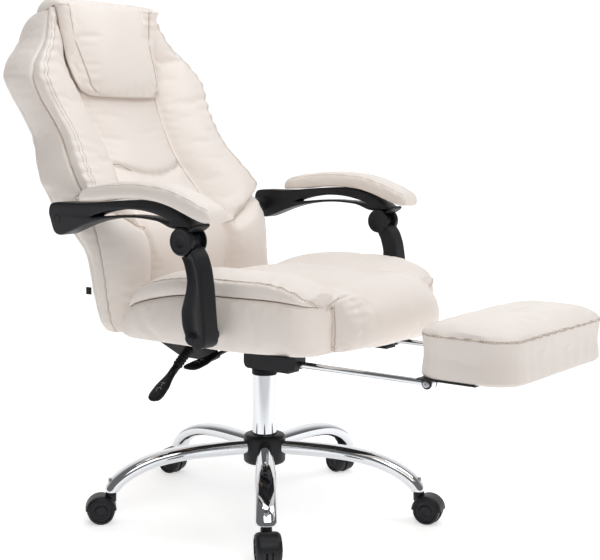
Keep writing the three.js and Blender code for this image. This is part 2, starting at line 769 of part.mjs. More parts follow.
// The steel frame under the seat
function leverEars(spec) {
  const reach = lever.barrelHalf + lever.earGap;
  const [x, z] = spec.pivot;
  const top = seat.bottom - gap - plate.thickness / 2;
  return [-1, 1].map((hand) => {
    const near = spec.place + hand * reach;
    const far = near + hand * lever.earThickness;
    const low = [x - lever.earHalf, Math.min(near, far), z - lever.earHalf];
    const high = [-channel.halfWidth + channel.wall / 2, Math.max(near, far), top];
    const hole = bar([x, spec.place - 2 * reach, z], [x, spec.place + 2 * reach, z], lever.pinRadius + play);
    return block(low, high).subtract(hole);
  });
}

function addMountPlate() {
  const top = seat.bottom - gap;
  const under = top - plate.thickness;
  const low = under - channel.depth;
  const flat = block([-plate.halfWidth, plate.front, under], [plate.halfWidth, plate.rear, top]);
  const outer = block([-channel.halfWidth, channel.front, low], [channel.halfWidth, channel.rear, top]);
  const inner = block(
    [-channel.halfWidth + channel.wall, channel.front - overrun, low + channel.wall],
    [channel.halfWidth - channel.wall, channel.rear + overrun, under],
  );
  const socket = bar([0, 0, channel.socketLow], [0, 0, top], channel.socketRadius, roundSides);
  const bore = bar(
    [0, 0, channel.socketLow - overrun],
    [0, 0, column.cylinderHigh + gap],
    column.cylinderRadius + gap,
    roundSides,
  );
  const steel = joined(cut(outer, inner), flat, socket, ...leverEars(liftLever), ...leverEars(reclineLever));
  addPiece("seat_mount_plate", steel.subtract(bore), finishes.blackSteel);
}

function addHingeBrackets() {
  const b = bracket;
  const top = seat.bottom - gap;
  const [eyeY, eyeZ] = link.hinge;
  const edge = top - b.edgeDepth;
  const foot = top - b.skirtDepth;
  const outline = [
    [b.front, edge], [b.skirtFront, foot], [b.skirtRear, foot], [b.step + b.eyeRadius, edge],
    [eyeY - b.eyeRadius * 0.15, edge + b.skirtDepth * 0.6], [eyeY + b.eyeRadius * 0.9, eyeZ],
    [eyeY - b.eyeRadius * 0.9, eyeZ], [b.step, top + b.edgeDepth], [b.step - b.eyeRadius, top],
    [b.front, top],
  ];
  const bolts = [
    [(b.skirtRear + b.step) / 2, top - b.edgeDepth],
    [(b.skirtFront + b.skirtRear) / 2 + b.edgeDepth, foot + b.edgeDepth],
  ];
  for (const [side, hand] of sideNames) {
    const near = hand * b.middle - b.thickness / 2;
    const far = hand * b.middle + b.thickness / 2;
    const outer = hand < 0 ? near : far;
    const strap = slab(outline, "x", near, far);
    const eye = bar([near, eyeY, eyeZ], [far, eyeY, eyeZ], b.eyeRadius, roundSides);
    const reach = hand < 0 ? [near, near + b.flange] : [far - b.flange, far];
    const flange = block(
      [reach[0], b.skirtRear, top - plate.thickness],
      [reach[1], b.step - b.eyeRadius, top],
    );
    const heads = bolts.map((place) =>
      bar([outer, ...place], [outer + hand * b.boltHead, ...place], b.boltRadius, boltSides),
    );
    const holeRadius = hingePin.radius + play;
    const hole = bar([near - overrun, eyeY, eyeZ], [far + overrun, eyeY, eyeZ], holeRadius, roundSides);
    const slots = [liftLever, reclineLever].map((spec) => {
      const level = leverHeightAt(spec, b.middle) - b.slotHeight / 3;
      return block(
        [near - overrun, spec.place - b.slotHalfWidth, level],
        [far + overrun, spec.place + b.slotHalfWidth, level + b.slotHeight],
      );
    });
    const steel = cut(joined(strap, eye, flange, ...heads), hole, ...slots);
    addPiece(`back_hinge_${side}`, steel, finishes.blackSteel);
  }
}

// The height of a lever's rod at a distance from the chair's middle plane.
function leverHeightAt(spec, distance) {
  const [from, to] = -distance > spec.bend[0] ? [spec.pivot, spec.bend] : [spec.bend, spec.end];
  const share = (-distance - from[0]) / (to[0] - from[0]);
  return from[1] + (to[1] - from[1]) * share;
}

// The levers
function leverPoint(spec, [x, z]) {
  return new THREE.Vector3(x, spec.place, z);
}

function leverCourse(spec) {
  const [from, bend, to] = [spec.pivot, spec.bend, spec.end].map((p) => leverPoint(spec, p));
  const arc = new THREE.QuadraticBezierCurve3(
    bend.clone().lerp(from, bendSoftShare),
    bend,
    bend.clone().lerp(to, bendSoftShare),
  ).getPoints(bendSteps);
  return [from, ...arc, to];
}

function addLeverArm(name, spec) {
  const side = new THREE.Vector3(0, 1, 0);
  const rod = planarTube(leverCourse(spec), side, () => [lever.rodRadius, lever.rodRadius], smallSides);
  const [x, z] = spec.pivot;
  const across = (half, radius) => bar([x, spec.place - half, z], [x, spec.place + half, z], radius);
  const pinHalf = lever.barrelHalf + lever.earGap + lever.earThickness;
  const arm = joined(rod, across(lever.barrelHalf, lever.barrelRadius), across(pinHalf, lever.pinRadius));
  addPiece(name, arm, finishes.blackSteel);
}

// A flat paddle with a round neck, which the rod's end sits in.
function addPaddle(name, spec) {
  const from = leverPoint(spec, spec.bend);
  const to = leverPoint(spec, spec.end);
  const along = to.clone().sub(from).normalize();
  const upper = paddleShares.map(([s, half]) => [s * spec.paddleLength, half * spec.paddleHalfWidth]);
  const lower = upper.map(([s, half]) => [s, -half]).reverse();
  const half = lever.paddleThickness / 2;
  const blade = slab([...upper, ...lower].reverse(), "z", -half, half);
  const neck = bar([-lever.neckLength / 2, 0, 0], [lever.neckLength, 0, 0], lever.neckRadius);
  const bore = bar([-lever.neckLength, 0, 0], [lever.socketDepth, 0, 0], lever.rodRadius + gap);
  const angle = -Math.atan2(along.z, along.x) / degrees;
  const start = to.clone().addScaledVector(along, gap - lever.socketDepth);
  const paddle = joined(blade, neck).subtract(bore).rotate([0, angle, 0]).translate(start.toArray());
  addPiece(name, paddle, finishes.blackPlastic);
}

// The ribbed grip sleeve: ribs outside, a plain bore inside.
function addSleeve(name, spec) {
  const from = leverPoint(spec, spec.bend);
  const to = leverPoint(spec, spec.end);
  const along = to.clone().sub(from).normalize();
  const side = new THREE.Vector3(0, 1, 0);
  const up = along.clone().cross(side);
  const finishAt = lever.socketDepth + lever.neckLength / 2 + gap;
  const length = sleeve.ribs * sleeve.pitch + sleeve.end;
  const start = to.clone().addScaledVector(along, -finishAt - length);
  const ring = (distance, radius) =>
    Array.from({ length: sleeve.sides }, (_, k) => {
      const angle = (2 * Math.PI * k) / sleeve.sides;
      return start
        .clone()
        .addScaledVector(along, distance)
        .addScaledVector(side, radius * Math.cos(angle))
        .addScaledVector(up, radius * Math.sin(angle));
    });
  const outside = [ring(0, sleeve.valley)];
  for (let k = 0; k < sleeve.ribs; k++) {
    const foot = sleeve.end / 2 + k * sleeve.pitch;
    outside.push(ring(foot, sleeve.valley), ring(foot + sleeve.pitch / 2, sleeve.crest));
  }
  outside.push(ring(length - sleeve.end / 2, sleeve.valley), ring(length, sleeve.valley));
  const boreRings = Math.ceil(sleeve.ribs / sleeve.ringEvery);
  const inside = steps(length, 0, boreRings).map((distance) => ring(distance, sleeve.bore));
  addPiece(name, loft([...outside, ...inside], true), finishes.rubber);
}

// The footrest's rails, rods, hinges and pad
function addRails() {
  const r = rail;
  const top = seat.bottom - gap;
  const round = r.guideRound;
  const outline = [
    [r.guideRear, top], [r.guideFront, top], [r.guideFront, r.guideLow + r.noseDrop],
    [r.guideFront + r.noseLength, r.guideLow + r.noseDrop / 2], [r.guideFront + r.noseLength, r.guideLow],
    [r.guideRear - round, r.guideLow], [r.guideRear - round / 3, r.guideLow + round / 3],
    [r.guideRear, r.guideLow + round],
  ];
  for (const [side, hand] of sideNames) {
    const x = hand * r.middle;
    const guide = slab(outline, "x", x - r.guideHalfWidth, x + r.guideHalfWidth);
    const bore = bar(
      [x, r.guideFront - overrun, r.height],
      [x, r.guideRear + overrun, r.height],
      r.rodRadius + play,
    );
    addPiece(`footrest_guide_${side}`, guide.subtract(bore), finishes.blackPlastic);

    const across = (half, radius) =>
      bar([x - half, r.pivot, r.height], [x + half, r.pivot, r.height], radius);
    const rod = bar([x, r.pivot, r.height], [x, r.rodRear, r.height], r.rodRadius);
    const knuckle = across(r.bossHalf, r.bossRadius);
    const rodEnd = cut(joined(rod, knuckle), across(r.bossHalf + overrun, r.pinRadius + play));
    addPiece(`footrest_rod_${side}`, rodEnd, finishes.chrome);

    const under = r.height + r.plateRise;
    const plateTop = under + r.plateThickness;
    const plateSolid = block(
      [x - r.plateHalfWidth, r.plateFront, under],
      [x + r.plateHalfWidth, r.pivot + r.bossRadius, plateTop],
    );
    const earInner = r.bossHalf + r.earGap;
    const earOuter = earInner + r.earThickness;
    const ears = [-1, 1].map((way) => {
      const near = Math.min(x + way * earInner, x + way * earOuter);
      const far = near + r.earThickness;
      const cheek = block([near, r.pivot - r.bossRadius, r.height], [far, r.pivot + r.bossRadius, plateTop]);
      return cheek.add(bar([near, r.pivot, r.height], [far, r.pivot, r.height], r.bossRadius, roundSides));
    });
    const pin = across(earOuter, r.pinRadius);
    addPiece(`footrest_bracket_${side}`, joined(plateSolid, ...ears, pin), finishes.blackSteel);
  }
}

// A rectangle with rounded corners, inset by some length, as points going round.
function roundedOutline(halfWidth, front, rear, radius, inset) {
  const points = [];
  const corners = [
    [1, rear, 1, 0], [-1, rear, 1, 90], [-1, front, -1, 180], [1, front, -1, 270],
  ];
  for (const [hand, edge, way, start] of corners) {
    const middle = [hand * (halfWidth - radius), edge - way * radius];
    for (const a of steps(start, start + 90, footPadCorner - 1)) {
      const mostInset = radius * (1 - sharpestCornerShare);
      const reach = radius - Math.min(inset, mostInset);
      const extra = Math.max(inset - mostInset, 0);
      points.push([
        middle[0] - hand * extra + reach * Math.cos(a * degrees),
        middle[1] - way * extra + reach * Math.sin(a * degrees),
      ]);
    }
  }
  return points;
}

function addFootPad() {
  const p = footPad;
  const low = rail.height + rail.plateRise + rail.plateThickness + gap;
  const rings = footPadShares.map(([up, inset]) =>
    roundedOutline(p.halfWidth, p.front, p.rear, p.cornerRadius, inset * p.cornerRadius).map(
      ([x, y]) => new THREE.Vector3(x, y, low + up * p.height),
    ),
  );
  addPiece("footrest_pad", loft(rings), finishes.leather);
}

// The seat
function seatPoint([along, up]) {
  return [seat.front + along * (seat.rear - seat.front), seat.bottom + up * seat.height];
}

function addSeatBoard() {
  const inset = seat.boardInset;
  const board = block(
    [-seat.halfWidth + inset, seat.front + 2 * inset, seat.bottom],
    [seat.halfWidth - inset, seat.rear - inset, seat.bottom + seat.boardThickness],
  );
  addPiece("seat_board", board, finishes.plywood);
}

// The seat box: rounded rectangles across the chair, from its front to its rear.
function addSeatCushion() {
  const rings = seatBoxShares.map(([along, wide, low, high]) => {
    const half = wide * seat.halfWidth;
    const [y, foot] = seatPoint([along, low]);
    const top = seatPoint([along, high])[1];
    const round = Math.min(seat.sideRound, (top - foot) / 3);
    const belly = (top + foot) / 2;
    const side = [
      [half - 2 * round, foot], [half - round / 2, foot + round / 2], [half, foot + round], [half, belly],
      [half, top - round], [half - round / 2, top - round / 4], [half - 2 * round, top],
    ];
    const other = side.map(([x, z]) => [-x, z]).reverse();
    return [...side, ...other].map(([x, z]) => new THREE.Vector3(x, y, z));
  });
  const inset = seat.boardInset - gap;
  const pocket = block(
    [-seat.halfWidth + inset, seat.front + 2 * seat.boardInset - gap, seat.bottom - overrun],
    [seat.halfWidth - inset, seat.rear - inset, seat.bottom + seat.boardThickness + gap],
  );
  const boltHoles = sideNames.map(([, hand]) =>
    bar(
      [hand * (seat.halfWidth - arm.boltReach), ...link.postFoot],
      [hand * (seat.halfWidth + overrun), ...link.postFoot],
      arm.boltRadius + play,
    ),
  );
  addPiece("seat_cushion", cut(loft(rings), pocket, ...boltHoles), finishes.leather);
}

// The height of the seat box's top, which is straight between the rows of its table.
function seatBoxTop(along) {
  const next = Math.max(seatBoxShares.findIndex((row) => row[0] >= along), 1);
  const [[from, , , low], [to, , , high]] = seatBoxShares.slice(next - 1, next + 1);
  return seatPoint([along, low + ((high - low) * (along - from)) / (to - from)])[1];
}

// The pad over the seat box: two thigh lobes, and between them a lower middle that runs down the
// front as a roll. Each ring lies across the chair, from an underside place to a crest.
function addSeatPad() {
  const top = seatTopPadShares.map(([along, ...row]) => {
    return [seatPoint([along, 0])[0], seatBoxTop(along) + gap, row];
  });
  const roll = seatRollShares.map(([up, ...row]) => [seat.front - gap, seatPoint([0, up])[1], row]);
  const rings = [...top, ...roll].map(([baseY, baseZ, row]) => {
    const [outAlong, outUp, wide, channelAt, channelDepth, edge, swell] = row;
    const half = wide * seat.halfWidth;
    const channelX = channelAt * seat.halfWidth;
    const crest = seatPoint([outAlong, outUp]);
    const at = (x, depth) =>
      new THREE.Vector3(x, baseY + (crest[0] - baseY) * depth, baseZ + (crest[1] - baseZ) * depth);
    const depthAt = (share) => {
      if (share < 0.5) return 1 + (channelDepth - 1) * (2 * share) ** 3;
      const out = 2 * share - 1;
      return channelDepth + (edge - channelDepth) * out + swell * Math.max(Math.sin(Math.PI * out), 0) ** 0.8;
    };
    const placeAt = (share) =>
      share < 0.5 ? 2 * share * channelX : channelX + (2 * share - 1) * (half - channelX);
    const over = steps(0, 1, seatPadAcross).map((share) => [placeAt(share), depthAt(share)]);
    const left = [...over, [half, edge / 2], [half - seat.sideRound, 0], [channelX, 0]];
    const right = left.slice(1).map(([x, depth]) => [-x, depth]);
    return [...left, ...right.reverse()].map(([x, depth]) => at(x, depth));
  });
  addPiece("seat_top_pad", loft(rings), finishes.leather);
}

// The back
const leanAt = (table, h) => back.foot + back.lean * follow(table, h);
const backHeight = (h) => back.bottom + back.height * h;
const backHalfWidth = (h) => back.halfWidth * follow(halfWidthShares, h);

// How much of the wing stands over a place on the back: 0 below its lower edge, 1 above it.
function wingShare(a, z) {
  const slope = (wingFoot.outerHeight - wingFoot.innerHeight) / (wingFoot.outer - wingFoot.inner);
  const edge = wingFoot.innerHeight + (a - wingFoot.inner) * slope;
  return smoothstep(-wingFoot.blend / 2, wingFoot.blend / 2, z - edge);
}

// The place along Y of the back's front surface.
function backFront(x, h) {
  const a = Math.abs(x);
  const z = backHeight(h);
  const half = backHalfWidth(h);
  const creaseX = half * follow(creasePlaceShares, h);
  const crease = leanAt(creaseShares, h);
  const wing = wingShare(a, z);
  const fade = 1 - smoothstep(0.72, 0.95, h);
  const edge = leanAt(sideSeamShares, h) - back.wingWall * wing * (0.35 + 0.65 * fade);
  let y;
  if (a < creaseX) y = crease - back.centreCrown * (1 - (a / creaseX) ** 2);
  else {
    const u = Math.min((a - creaseX) / (half - creaseX), 1);
    const bolster = back.bolsterBulge * (1 - wing) * smoothstep(-0.02, 0.06, h);
    const swell = bolster + back.wingBulge * wing * (0.4 + 0.6 * fade);
    const roundOff = back.edgeRound * smoothstep(0.85, 1, u) ** 2;
    const face = edge - back.edgeRound;
    y = crease + (face - crease) * u - swell * Math.max(Math.sin(Math.PI * u), 0) ** 0.8 + roundOff;
  }
  const sagging = lumbarSeam.sag * (1 - Math.min(a / lumbarSeam.half, 1) ** 2);
  const offSeam = (z - (lumbarSeam.ends - sagging)) / back.seamHalfWidth;
  const inSeam = 1 - smoothstep(lumbarSeam.half * 0.95, lumbarSeam.half * 1.1, a);
  return y + back.seamDip * Math.exp(-offSeam * offSeam) * inSeam;
}

// The parting between the shell and the pad, along Y.
function backParting(x, h) {
  const a = Math.abs(x);
  const half = backHalfWidth(h);
  const middle = leanAt(creaseShares, h) + back.padThinnest;
  const side = leanAt(sideSeamShares, h);
  const blend = smoothstep(0.6, 0.85, a / half);
  return Math.max(middle + (side - middle) * blend, backFront(x, h) + back.padThinnest * 0.7);
}

const partingShares = [1, 0.86, 0.72, 0.6, 0.3, 0, -0.3, -0.6, -0.72, -0.86, -1];

function hingeSlots() {
  const half = bracket.thickness / 2 + hingeSlot.side;
  return sideNames.map(([, hand]) => {
    const x = hand * bracket.middle;
    return block(
      [x - half, back.foot - back.lean, back.bottom - overrun],
      [x + half, link.hinge[0] + hingeSlot.behind, link.hinge[1] + hingeSlot.above],
    );
  });
}

function addBackCasing() {
  const rings = backRowShares.map((h) => {
    const half = backHalfWidth(h);
    const rear = leanAt(rearShares, h);
    const z = backHeight(h);
    const front = partingShares.map((s) => new THREE.Vector3(s * half, backParting(s * half, h), z));
    const side = leanAt(sideSeamShares, h);
    const depth = rear - side;
    const inset = Math.min(back.cornerInset, depth / 2);
    const corner = (hand) => [
      new THREE.Vector3(hand * half, rear - inset, z),
      new THREE.Vector3(hand * (half - inset * 0.3), rear - inset * 0.3, z),
      new THREE.Vector3(hand * (half - inset), rear, z),
    ];
    const crowned = [-0.5, 0, 0.5].map(
      (s) => new THREE.Vector3(s * half, rear + back.rearCrown * (1 - s * s), z),
    );
    return [...front, ...corner(-1), ...crowned, ...corner(1).reverse()];
  });
  const pinBore = bar(
    [-hingePin.halfLength - gap, ...link.hinge],
    [hingePin.halfLength + gap, ...link.hinge],
    hingePin.radius + gap,
  );
  const armBores = sideNames.map(([, hand]) =>
    bar(
      [hand * (back.halfWidth - arm.boltReach - gap), ...link.armRear],
      [hand * (back.halfWidth + overrun), ...link.armRear],
      arm.boltRadius + play,
    ),
  );
  addPiece("back_casing", cut(loft(rings), pinBore, ...hingeSlots(), ...armBores), finishes.leather);
  const half = hingePin.halfLength;
  const pin = bar([-half, ...link.hinge], [half, ...link.hinge], hingePin.radius);
  addPiece("back_hinge_pin", pin, finishes.steel);
}

function backPadSolid() {
  const rings = backRowShares.map((h) => {
    const half = backHalfWidth(h);
    const z = backHeight(h);
    const front = steps(-1, 1, backPadAcross).map(
      (s) => new THREE.Vector3(s * half, backFront(s * half, h), z),
    );
    const rear = partingShares.map(
      (s) => new THREE.Vector3(s * half, backParting(s * half, h) - gap, z),
    );
    return [...front, ...rear];
  });
  return cut(loft(rings), ...hingeSlots());
}

// The upper back grown by a clearance towards the pillow and upwards, and far to the rear.
function backRoom() {
  const levels = [...backRowShares.filter((h) => h > headrest.roomFromShare), 1 + (gap * 0.7) / back.height];
  const rings = levels.map((h) => {
    const half = backHalfWidth(h);
    const z = backHeight(h);
    const front = steps(-1, 1, backPadAcross).map(
      (s) => new THREE.Vector3(s * half, backFront(s * half, h) - gap, z),
    );
    const rear = [1, -1].map((s) => new THREE.Vector3(s * half, back.foot + back.lean * 2, z));
    return [...front, ...rear];
  });
  return loft(rings);
}

function addHeadrest() {
  const top = backHeight(1);
  const rise = headrest.high - top - gap;
  const padRows = backRowShares.map(backHeight).filter((z) => z > headrest.low && z < top - gap);
  // Each ring: its height, and how far it is over the top of the back.
  const below = [headrest.low, ...padRows, top + gap].map((z) => [z, -1]);
  const above = headrestTopShares.map((s) => [top + gap + s * rise, s]);
  const rings = [...below, ...above].map(([z, level]) => {
    const over = Math.max(level, 0);
    const h = Math.min((z - back.bottom) / back.height, 1);
    const up = (z - headrest.low) / (top - headrest.low);
    const widening = (headrest.topHalfWidth - headrest.bottomHalfWidth) * Math.min(up, 1);
    const half = headrest.bottomHalfWidth + widening - rise * over ** 4;
    const swell = Math.sin(Math.PI * Math.min(0.06 + 0.62 * up, 1)) ** 0.7;
    const rear = leanAt(rearShares, 1) - headrest.overhang - rise * over ** 3;
    const front = steps(-1, 1, headrestAcross).map((s) => {
      const crown = headrest.bulge * swell * (1 - Math.abs(s) ** 3.5) + headrest.edge;
      const sink = rise * 1.6 * over ** 2.2;
      return new THREE.Vector3(s * half, backFront(s * half, h) - gap - crown + sink, z);
    });
    const behind = steps(1, -1, headrestAcross).map((s) => {
      const y = level > 0 ? rear : backFront(s * half, h) + headrest.sunk;
      return new THREE.Vector3(s * half, y, z);
    });
    return [...front, ...behind];
  });
  const pillow = cut(loft(rings), backRoom());
  addPiece("headrest_pillow", largest(pillow), finishes.leather);
}

// The arms
function armPoint([back_, up]) {
  return [link.knuckle[0] + back_ * armSpan, link.knuckle[1] + up * armHeight];
}

function addArms() {
  const outline = [...armTopShares, ...armUnderShares].map(armPoint);
  const slot = armSlotShares.map(armPoint);
  for (const [side, hand] of sideNames) {
    const middle = hand * arm.middle;
    const innerFace = middle - hand * arm.halfWidth;
    const outerFace = middle + hand * arm.halfWidth;
    const [low, high] = [innerFace, outerFace].sort((p, q) => p - q);
    const beam = cut(slab(outline, "x", low, high), slab(slot, "x", low - overrun, high + overrun));
    const along = (from, to, place, radius, sides) => bar([from, ...place], [to, ...place], radius, sides);
    const bossFoot = hand * (back.halfWidth + gap);
    const boss = along(bossFoot, innerFace + hand * overrun, link.armRear, arm.bossRadius, roundSides);
    const bolt = along(hand * (back.halfWidth - arm.boltReach), innerFace, link.armRear, arm.boltRadius);
    const recessFloor = outerFace - hand * arm.recessDepth;
    const recess = along(recessFloor, outerFace + hand * overrun, link.armRear, arm.recessRadius);
    const discInner = outerFace - hand * (arm.discThickness - overrun);
    const disc = along(discInner, outerFace + hand * overrun, link.knuckle, arm.discRadius, roundSides);
    const pin = along(innerFace, discInner + hand * overrun, link.knuckle, arm.pinRadius);
    const discFace = outerFace + hand * overrun;
    const dentFloor = discFace - hand * arm.discDent;
    const discDent = along(dentFloor, discFace + hand * overrun, link.knuckle, arm.recessRadius);
    const roomRadius = post.headRadius + play * 2;
    const roomFrom = innerFace - hand * overrun;
    const room = along(roomFrom, discInner - hand * gap * 2, link.knuckle, roomRadius, roundSides);
    const frame = joined(cut(joined(beam, disc, boss), recess, discDent, room), pin, bolt);
    addPiece(`arm_frame_${side}`, frame, finishes.blackPlastic);
    addArmPad(side, middle);
    addPost(side, hand, innerFace, discInner - hand * gap * 4);
  }
}

// The arm's upper outline, as a height over the floor at a place along Y.
function armPadUnder(share) {
  return link.knuckle[1] + armHeight * follow(armPadUnderShares, share);
}

function addArmPad(side, middle) {
  const p = armPad;
  const rings = steps(0, 1, armPadRows).map((s) => {
    const y = p.front + (p.rear - p.front) * s;
    const ends = Math.sqrt(Math.max(1 - Math.abs(2 * s - 1) ** 9, 0.02));
    const half = p.halfWidth * (0.72 + 0.28 * ends);
    const under = armPadUnder(s) + gap;
    const thick = p.thickness * (0.35 + 0.65 * ends) - p.frontDrop * (1 - smoothstep(0, 0.3, s));
    return Array.from({ length: armPadSides }, (_, k) => {
      const angle = (2 * Math.PI * (k + 0.5)) / armPadSides;
      const square = (v) => Math.sign(v) * Math.abs(v) ** 0.6;
      const lift = (square(Math.sin(angle)) + 1) / 2;
      return new THREE.Vector3(middle + half * square(Math.cos(angle)), y, under + thick * lift);
    });
  });
  const clearance = gap * 3;
  const outline = [...armTopShares, ...armUnderShares].map(armPoint).map(([y, z]) => [y, z + clearance]);
  const beamRoom = slab(outline, "x", middle - p.halfWidth - overrun, middle + p.halfWidth + overrun);
  addPiece(`arm_pad_${side}`, loft(rings).subtract(beamRoom), finishes.leather);
}

function addPost(side, hand, innerFace, outerLimit) {
  const [headY, headZ] = link.knuckle;
  const [footY, footZ] = link.postFoot;
  const place = ([up, reach]) => [
    footY + (headY - footY) * up + reach * post.footRadius,
    footZ + (headZ - footZ) * up,
  ];
  const outline = [...postRearShares.map(place), ...postFrontShares.map(place)];
  const [low, high] = [innerFace, outerLimit].sort((p, q) => p - q);
  const outerFace = hand * (arm.middle + arm.halfWidth);
  const [footLow, footHigh] = [innerFace, outerFace].sort((p, q) => p - q);
  const headClear = arm.discRadius + play * 3;
  const shaft = slab(outline, "x", footLow, footHigh);
  const across = (from, to, centre, radius, sides) => bar([from, ...centre], [to, ...centre], radius, sides);
  const boltEnd = hand * (seat.halfWidth - arm.boltReach + gap);
  const discRoom = across(outerLimit, outerFace + hand * 2 * overrun, link.knuckle, headClear, roundSides);
  const head = across(low, high, link.knuckle, post.headRadius, roundSides);
  const foot = across(innerFace, outerFace, link.postFoot, post.footRadius, roundSides);
  const bossFoot = hand * (seat.halfWidth + gap);
  const boss = across(bossFoot, innerFace, link.postFoot, post.footBossRadius, roundSides);
  const bolt = across(boltEnd, innerFace, link.postFoot, arm.boltRadius);
  const recessFloor = outerFace - hand * arm.recessDepth;
  const recess = across(recessFloor, outerFace + hand * overrun, link.postFoot, arm.recessRadius);
  const bore = across(low - overrun, high + overrun, link.knuckle, arm.pinRadius + play, roundSides);
  const body = cut(joined(shaft, foot), discRoom);
  const shape = joined(cut(joined(body, head, boss), bore, recess), bolt);
  addPiece(`arm_post_${side}`, shape, finishes.blackPlastic);
}

addHub();
for (let k = 0; k < star.legs; k++) {
  addLeg(k);
  addCaster(k);
}
addColumn();
addMountPlate();
addHingeBrackets();
addLeverArm("lift_lever_arm", liftLever);
addSleeve("lift_lever_sleeve", liftLever);
addPaddle("lift_lever_paddle", liftLever);
addLeverArm("recline_lever_arm", reclineLever);
addPaddle("recline_lever_paddle", reclineLever);
addRails();
addFootPad();
addSeatBoard();
addSeatCushion();
addSeatPad();
addBackCasing();
addPiece("back_pad", backPadSolid(), finishes.leather);
addHeadrest();
addArms();

// The origin is on the floor, under the middle of the chair's length.
chair.updateMatrixWorld(true);
const bounds = new THREE.Box3().setFromObject(chair);
chair.position.y = -(bounds.min.y + bounds.max.y) / 2;

export default chair;
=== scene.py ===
"""A reclining office chair with a slide-out footrest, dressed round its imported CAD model.

Everything is in metres in the frame of the CAD: +Z up, the sitter faces -Y, -X is the sitter's
right hand. A shape is a grid of points worked out with numpy, or a profile carried along a path.
"""

import math

import bmesh
import bpy
import numpy as np
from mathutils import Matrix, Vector


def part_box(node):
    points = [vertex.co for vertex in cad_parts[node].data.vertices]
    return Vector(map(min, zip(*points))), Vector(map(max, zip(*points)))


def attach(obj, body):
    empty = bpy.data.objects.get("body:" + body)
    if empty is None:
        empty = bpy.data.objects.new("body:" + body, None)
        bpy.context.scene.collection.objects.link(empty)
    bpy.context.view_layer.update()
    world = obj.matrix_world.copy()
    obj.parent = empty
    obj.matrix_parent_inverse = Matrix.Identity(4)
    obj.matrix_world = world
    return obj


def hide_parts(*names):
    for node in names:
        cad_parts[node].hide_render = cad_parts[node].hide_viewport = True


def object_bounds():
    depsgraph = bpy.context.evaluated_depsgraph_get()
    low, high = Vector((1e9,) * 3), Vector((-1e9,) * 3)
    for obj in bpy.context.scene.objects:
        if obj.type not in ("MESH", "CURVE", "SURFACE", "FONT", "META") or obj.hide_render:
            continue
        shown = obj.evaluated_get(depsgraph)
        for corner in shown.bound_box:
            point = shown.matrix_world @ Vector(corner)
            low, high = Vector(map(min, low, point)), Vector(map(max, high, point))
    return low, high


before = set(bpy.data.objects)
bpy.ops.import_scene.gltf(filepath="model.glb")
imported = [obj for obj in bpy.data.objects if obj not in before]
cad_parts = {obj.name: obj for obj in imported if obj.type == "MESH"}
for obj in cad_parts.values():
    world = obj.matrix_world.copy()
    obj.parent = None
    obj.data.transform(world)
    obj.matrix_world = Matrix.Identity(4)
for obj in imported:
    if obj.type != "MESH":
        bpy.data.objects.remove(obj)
CAD_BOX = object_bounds()

# The photograph's frame and the camera that was fitted to it: pixels, metres and radians.
PHOTO_WIDTH = 600
PHOTO_HEIGHT = 560
FOCAL_PIXELS = 1257.0
PHOTO_CENTRE = (263.3, 273.0)
CAMERA_PLACE = Vector((-1.894, -1.4365, 0.741))
CAMERA_PITCH = 0.115
CAMERA_YAW = -0.001
SENSOR = 36.0  # millimetres

GAP = 0.0003  # between pieces that bear on each other
SIDES = ((-1, "right"), (1, "left"))


def corners(node):
    """Lowest and highest corner of a CAD node as numpy arrays."""
    low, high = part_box(node)
    return np.array(low), np.array(high)


COLUMN_Y = float(corners("gas_lift_cylinder")[0][1] + corners("gas_lift_cylinder")[1][1]) / 2


# Numbers along a curve, and grids of points

def curve_through(table, at):
    """Rows of a table as a smooth function of their first number. Between two rows it is the
    cubic whose end slopes are the harmonic means of the slopes on both sides, or zero where
    they differ in sign, so that it never overshoots."""
    table = np.array(table, float)
    x, y = table[:, 0], table[:, 1:]
    slope = np.diff(y, axis=0) / np.diff(x)[:, None]
    product = slope[:-1] * slope[1:]
    total = np.where(product > 0, slope[:-1] + slope[1:], 1)
    tangent = np.vstack([slope[:1], np.where(product > 0, 2 * product / total, 0), slope[-1:]])
    at = np.clip(np.asarray(at, float), x[0], x[-1])
    i = np.clip(np.searchsorted(x, at, side="right") - 1, 0, len(x) - 2)
    width = (x[i + 1] - x[i])[..., None]
    t = (at - x[i])[..., None] / width
    value = (
        y[i] * (1 + 2 * t) * (1 - t) ** 2
        + y[i + 1] * t * t * (3 - 2 * t)
        + width * t * (1 - t) * (tangent[i] * (1 - t) - tangent[i + 1] * t)
    )
    return value[..., 0] if value.shape[-1] == 1 else value


def spline(points, count, closed=False):
    """Points evenly spaced in parameter on the Catmull-Rom curve through the given ones: each
    stretch is the cubic that leaves a point parallel to the line between its two neighbours."""
    p = np.array(points, float)
    if closed:
        p = np.vstack([p[-1:], p, p[:2]])
    else:
        p = np.vstack([2 * p[0] - p[1], p, 2 * p[-1] - p[-2]])
    spans = len(p) - 3
    at = np.linspace(0, spans, count, endpoint=not closed)
    i = np.minimum(at.astype(int), spans - 1)
    t = (at - i)[:, None]
    a, b, c, d = p[i], p[i + 1], p[i + 2], p[i + 3]
    return 0.5 * (
        2 * b + (c - a) * t + (2 * a - 5 * b + 4 * c - d) * t**2 + (3 * b - a - 3 * c + d) * t**3
    )


def smoothstep(low, high, value):
    """A rise from 0 to 1 between two values, as three squares less two cubes."""
    t = np.clip((np.asarray(value, float) - low) / (high - low), 0, 1)
    return t * t * (3 - 2 * t)


def grid_of(*parts):
    """A grid of points from arrays of their places along X, Y and Z."""
    return np.stack(np.broadcast_arrays(*parts), axis=-1)


def bump(distance, width):
    """A bell: one at no distance, and next to nothing at twice the width."""
    return np.exp(-((distance / width) ** 2))


def half_sine(share):
    """A hump that is zero at shares of 0 and 1."""
    return np.maximum(np.sin(np.pi * share), 0)


